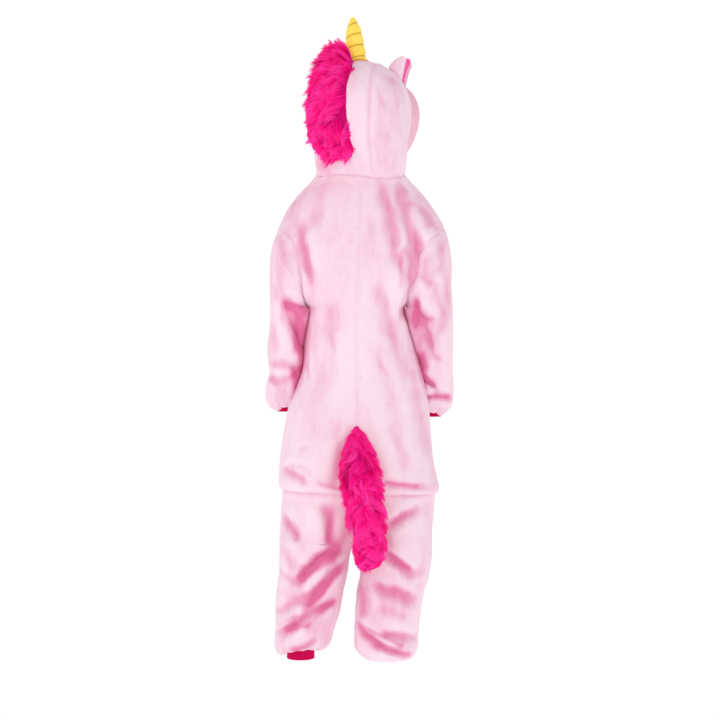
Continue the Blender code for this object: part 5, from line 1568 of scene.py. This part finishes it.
def make_button(name, place, normal):
    """A moulded disc with a raised rim, four holes and the thread that crosses them."""
    across = unit(np.cross(normal, (0, 0, 1)))
    up = np.cross(normal, across)
    face = [(share, BUTTON_FACE - 0.03 * (0.7 - share)) for share in np.linspace(0.66, 0.0, 26)]
    holes = [(BUTTON_HOLE * i, BUTTON_HOLE * j) for i in (-1, 1) for j in (-1, 1)]
    angle = circle(BUTTON_SIDES)
    rings = []
    for share, height in BUTTON_RIM + face:
        a, b = np.cos(angle) * BUTTON_RADIUS * share, np.sin(angle) * BUTTON_RADIUS * share
        lift = np.full_like(a, height * BUTTON_THICK)
        if height > 0.5 and share < 0.7:
            for x, y in holes:
                off = np.hypot(a - x, b - y) - HOLE_RADIUS
                lift -= HOLE_DEPTH / (1 + np.exp(off / HOLE_EDGE))
        lift += REST_GAP
        rings.append(place + np.outer(a, across) + np.outer(b, up) + np.outer(lift, normal))
    quads = quads_of(grid_index(len(rings), BUTTON_SIDES, closed=True))
    points = np.concatenate(rings)
    button = piece(name + "_plastic", points, quads, PLASTIC, "button_plastic", sharp=40)
    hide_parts(name)
    run = np.linspace(-1, 1, 9)
    arch = BUTTON_THICK * BUTTON_FACE + 0.55 * np.sqrt(np.maximum(1 - run**4, 0)) - 0.5 + REST_GAP
    bars = []
    for x in (-1, 1):
        for shift in (-0.3, 0.3):
            line = place + across * (x * BUTTON_HOLE + shift) + np.outer(run * BUTTON_HOLE, up)
            bars.append(tube(line + np.outer(arch, normal), 0.28))
    piece(name + "_thread", *joined(bars), SEWING, "button_plastic")


def lumps(tree, size, detail, roughness):
    """A noise texture whose lumps are size mm along X, Y and Z, as its output from 0 to 1."""
    place = tree.nodes.new("ShaderNodeTexCoord")
    scale = tree.nodes.new("ShaderNodeMapping")
    scale.inputs["Scale"].default_value = [1000 / s for s in size]
    texture = tree.nodes.new("ShaderNodeTexNoise")
    texture.inputs["Scale"].default_value = 1.0
    texture.inputs["Detail"].default_value = detail
    texture.inputs["Roughness"].default_value = roughness
    tree.links.new(place.outputs["Object"], scale.inputs["Vector"])
    tree.links.new(scale.outputs["Vector"], texture.inputs["Vector"])
    return texture.outputs["Fac"]


def attribute(tree, name):
    read = tree.nodes.new("ShaderNodeAttribute")
    read.attribute_name = name
    return read.outputs["Fac"]


def weighed(tree, start, parts):
    """start plus each output times its weight."""
    total = None
    for output, weight in parts:
        node = tree.nodes.new("ShaderNodeMath")
        node.operation = "MULTIPLY_ADD"
        node.inputs[1].default_value = weight
        tree.links.new(output, node.inputs[0])
        if total is None:
            node.inputs[2].default_value = start
        else:
            tree.links.new(total, node.inputs[2])
        total = node.outputs["Value"]
    return total


def ramp(tree, output, stops):
    """Colours along a value; stops are (place, (r, g, b))."""
    node = tree.nodes.new("ShaderNodeValToRGB")
    node.color_ramp.interpolation = "B_SPLINE" if len(stops) > 3 else "LINEAR"
    while len(node.color_ramp.elements) < len(stops):
        node.color_ramp.elements.new(0.5)
    for element, (place, color) in zip(node.color_ramp.elements, stops):
        element.position = place
        element.color = (*color, 1)
    tree.links.new(output, node.inputs["Fac"])
    return node.outputs["Color"]


def bumped(tree, surface, layers):
    """Bump from (output, height in mm) layers, one on the other."""
    normal = None
    for output, height in layers:
        node = tree.nodes.new("ShaderNodeBump")
        node.inputs["Strength"].default_value = 1.0
        node.inputs["Distance"].default_value = height * MM
        tree.links.new(output, node.inputs["Height"])
        if normal is not None:
            tree.links.new(normal, node.inputs["Normal"])
        normal = node.outputs["Normal"]
    tree.links.new(normal, surface.inputs["Normal"])


def material(name, roughness, stops, grain, bumps, start=0.0, reads=(), glow=0.0, **sockets):
    """A new material; its colour lies on stops, at start plus its grain and what it reads.

    The rows of grain and bumps are noise with a size, a detail, a roughness and a weight, which for
    bumps is a height in mm; those of reads are attributes with a weight.
    """
    made = bpy.data.materials.new(name)
    made.use_nodes = True
    tree = made.node_tree
    surface = tree.nodes["Principled BSDF"]
    surface.inputs["Roughness"].default_value = roughness
    surface.inputs["Sheen Roughness"].default_value = 0.45
    for socket, value in sockets.items():
        surface.inputs[socket.replace("_", " ")].default_value = value
    parts = [(lumps(tree, *row[:3]), row[3]) for row in grain]
    parts += [(attribute(tree, read), weight) for read, weight in reads]
    color = ramp(tree, weighed(tree, start, parts), stops)
    tree.links.new(color, surface.inputs["Base Color"])
    if glow:
        tree.links.new(color, surface.inputs["Emission Color"])
        surface.inputs["Emission Strength"].default_value = glow
    if bumps:
        bumped(tree, surface, [(lumps(tree, *row[:3]), row[3]) for row in bumps])
    return made


def plush(name, stops, sheen=0.25, contrast=1.0):
    """Short plush: painted shade deepens it in its folds, and it is streaked where the nap lies one
    way or the other.
    """
    grain = [
        ((34, 34, 95), 3, 0.55, 0.42 * contrast),
        ((11, 11, 30), 4, 0.60, 0.30 * contrast),
        ((2.4, 2.4, 4.0), 2, 0.55, 0.16 * contrast),
    ]
    bumps = [((4.5, 4.5, 7.0), 3, 0.6, 0.9), ((1.0, 1.0, 1.7), 2, 0.7, 0.5)]
    start = 0.27 - sum(row[3] for row in grain) / 2
    reads = [("crease", 0.50)]
    looks = dict(Sheen_Weight=sheen, Sheen_Tint=(1, 0.9, 0.95, 1), Specular_IOR_Level=0.08)
    return material(name, 0.92, stops, grain, bumps, start, reads, PLUSH_GLOW, **looks)


def fur_material():
    """Glossy long pile that lets light through: painted shade darkens its roots, and its locks
    differ in tone, lighter (painted light) where they stand high and darker (painted shade) where
    low.
    """
    reads = [("shade", 0.85), ("along", 0.42)]
    looks = dict(Sheen_Weight=0.15, Sheen_Tint=(1, 0.3, 0.6, 1), Specular_IOR_Level=0.12)
    bumps = [((0.9, 0.9, 2.2), 2, 0.55, 0.3)]
    made = material("fur", 0.55, FUR_STOPS, [], bumps, -0.14, reads, FUR_GLOW, **looks)
    tree = made.node_tree
    surface = tree.nodes["Principled BSDF"]
    through = tree.nodes.new("ShaderNodeBsdfTranslucent")
    color = surface.inputs["Base Color"].links[0].from_socket
    tree.links.new(color, through.inputs["Color"])
    both = tree.nodes.new("ShaderNodeMixShader")
    both.inputs["Fac"].default_value = 0.3
    tree.links.new(surface.outputs["BSDF"], both.inputs[1])
    tree.links.new(through.outputs["BSDF"], both.inputs[2])
    tree.links.new(both.outputs["Shader"], tree.nodes["Material Output"].inputs["Surface"])
    return made


def horn_material():
    """Thin shiny cloth over stuffing, with painted shade beside the thread."""
    grain = [((26, 26, 40), 2, 0.55, 0.7), ((5, 5, 9), 3, 0.55, 0.3)]
    bumps = [((7, 7, 4), 3, 0.55, 1.4), ((0.6, 0.6, 0.6), 1, 0.55, 0.12)]
    reads = [("crease", 0.5)]
    looks = dict(Sheen_Weight=0.35, Sheen_Tint=(1, 0.95, 0.6, 1), Specular_IOR_Level=0.35)
    return material(
        "horn_cloth", 0.5, HORN_STOPS, grain, bumps, -0.18, reads, HORN_GLOW, **looks
    )


def knit_material():
    grain = [((9, 9, 14), 3, 0.55, 0.5), ((1.3, 1.3, 0.9), 2, 0.55, 0.5)]
    looks = dict(Sheen_Weight=0.12, Sheen_Tint=(1, 0.3, 0.5, 1), Specular_IOR_Level=0.1)
    bumps = [((1.2, 1.2, 0.8), 1, 0.55, 0.5)]
    return material("rib_knit", 0.85, KNIT_STOPS, grain, bumps, **looks)


def plain(name, stops, roughness, size, height, specular=0.3):
    """A small piece's material, slightly uneven in colour and surface."""
    grain, bumps = [((size,) * 3, 3, 0.55, 1.0)], [((size,) * 3, 2, 0.55, height)]
    return material(name, roughness, stops, grain, bumps, Specular_IOR_Level=specular)


BODY_PLUSH = plush("body_plush", BODY_STOPS)
BRIM_PLUSH = plush("brim_plush", BRIM_STOPS)
LINING_PLUSH = plush("lining_plush", LINING_STOPS, sheen=0.2, contrast=0.7)
FUR = fur_material()
HORN = horn_material()
RIB_KNIT = knit_material()
THREAD = plain("horn_thread", THREAD_STOPS, 0.6, 1, 0.1)
SEWING = plain("sewing_thread", SEWING_STOPS, 0.6, 1, 0.1)
PLASTIC = plain("button_plastic", PLASTIC_STOPS, 0.3, 6, 0.05, specular=0.5)


def make_stage():
    """A round floor that rises into a wall on all sides, all nearly white."""
    foot, low = STAGE_RADIUS - STAGE_BEND, FLOOR + STAGE_BEND
    quarter = np.linspace(0, pi / 2, 17)
    bend = [(foot + STAGE_BEND * sin(a), low - STAGE_BEND * cos(a)) for a in quarter]
    profile = [(0.001, FLOOR), *bend, (STAGE_RADIUS, STAGE_TOP)]
    points = [(r * cos(a), r * sin(a), z) for r, z in profile for a in circle(STAGE_SIDES)]
    faces = quads_of(grid_index(len(profile), STAGE_SIDES, closed=True))
    mesh = bpy.data.meshes.new("studio_sweep")
    mesh.from_pydata(points, [], faces.tolist())
    mesh.shade_smooth()
    grain = [((900, 900, 900), 2, 0.55, 1.0)]
    white = material(
        "studio_white", 0.9, STAGE_STOPS, grain, [], glow=STAGE_GLOW, Specular_IOR_Level=0.0
    )
    mesh.materials.append(white)
    put("studio_sweep", mesh)


def aim(made, place, target):
    made.location = place
    turn = (Vector(target) - Vector(place)).to_track_quat("-Z", "Y")
    made.rotation_euler = turn.to_euler()


def make_light(name, place, target, width, height, power, color):
    lamp = bpy.data.lights.new(name, "AREA")
    lamp.shape = "RECTANGLE"
    lamp.size, lamp.size_y = width, height
    lamp.energy = power
    lamp.color = color
    aim(put(name, lamp), place, target)


def make_camera():
    lens = bpy.data.cameras.new("camera")
    lens.sensor_width = 36
    lens.lens = CAMERA_LENS
    lens.clip_start = 0.1
    made = put("camera", lens)
    aim(made, CAMERA_PLACE, CAMERA_TARGET)
    bpy.context.scene.camera = made


def set_world():
    world = bpy.data.worlds.new("studio")
    world.use_nodes = True
    background = world.node_tree.nodes["Background"]
    background.inputs["Color"].default_value = (1.0, 0.99, 0.985, 1)
    background.inputs["Strength"].default_value = WORLD_LIGHT
    bpy.context.scene.world = world


make_garment()
make_mane()
make_tail()
make_horn()
make_ears()
make_cuffs()
make_band()
make_stage()
set_world()
for light in LIGHTS:
    make_light(*light)
make_camera()
bpy.context.scene.view_settings.view_transform = "Standard"
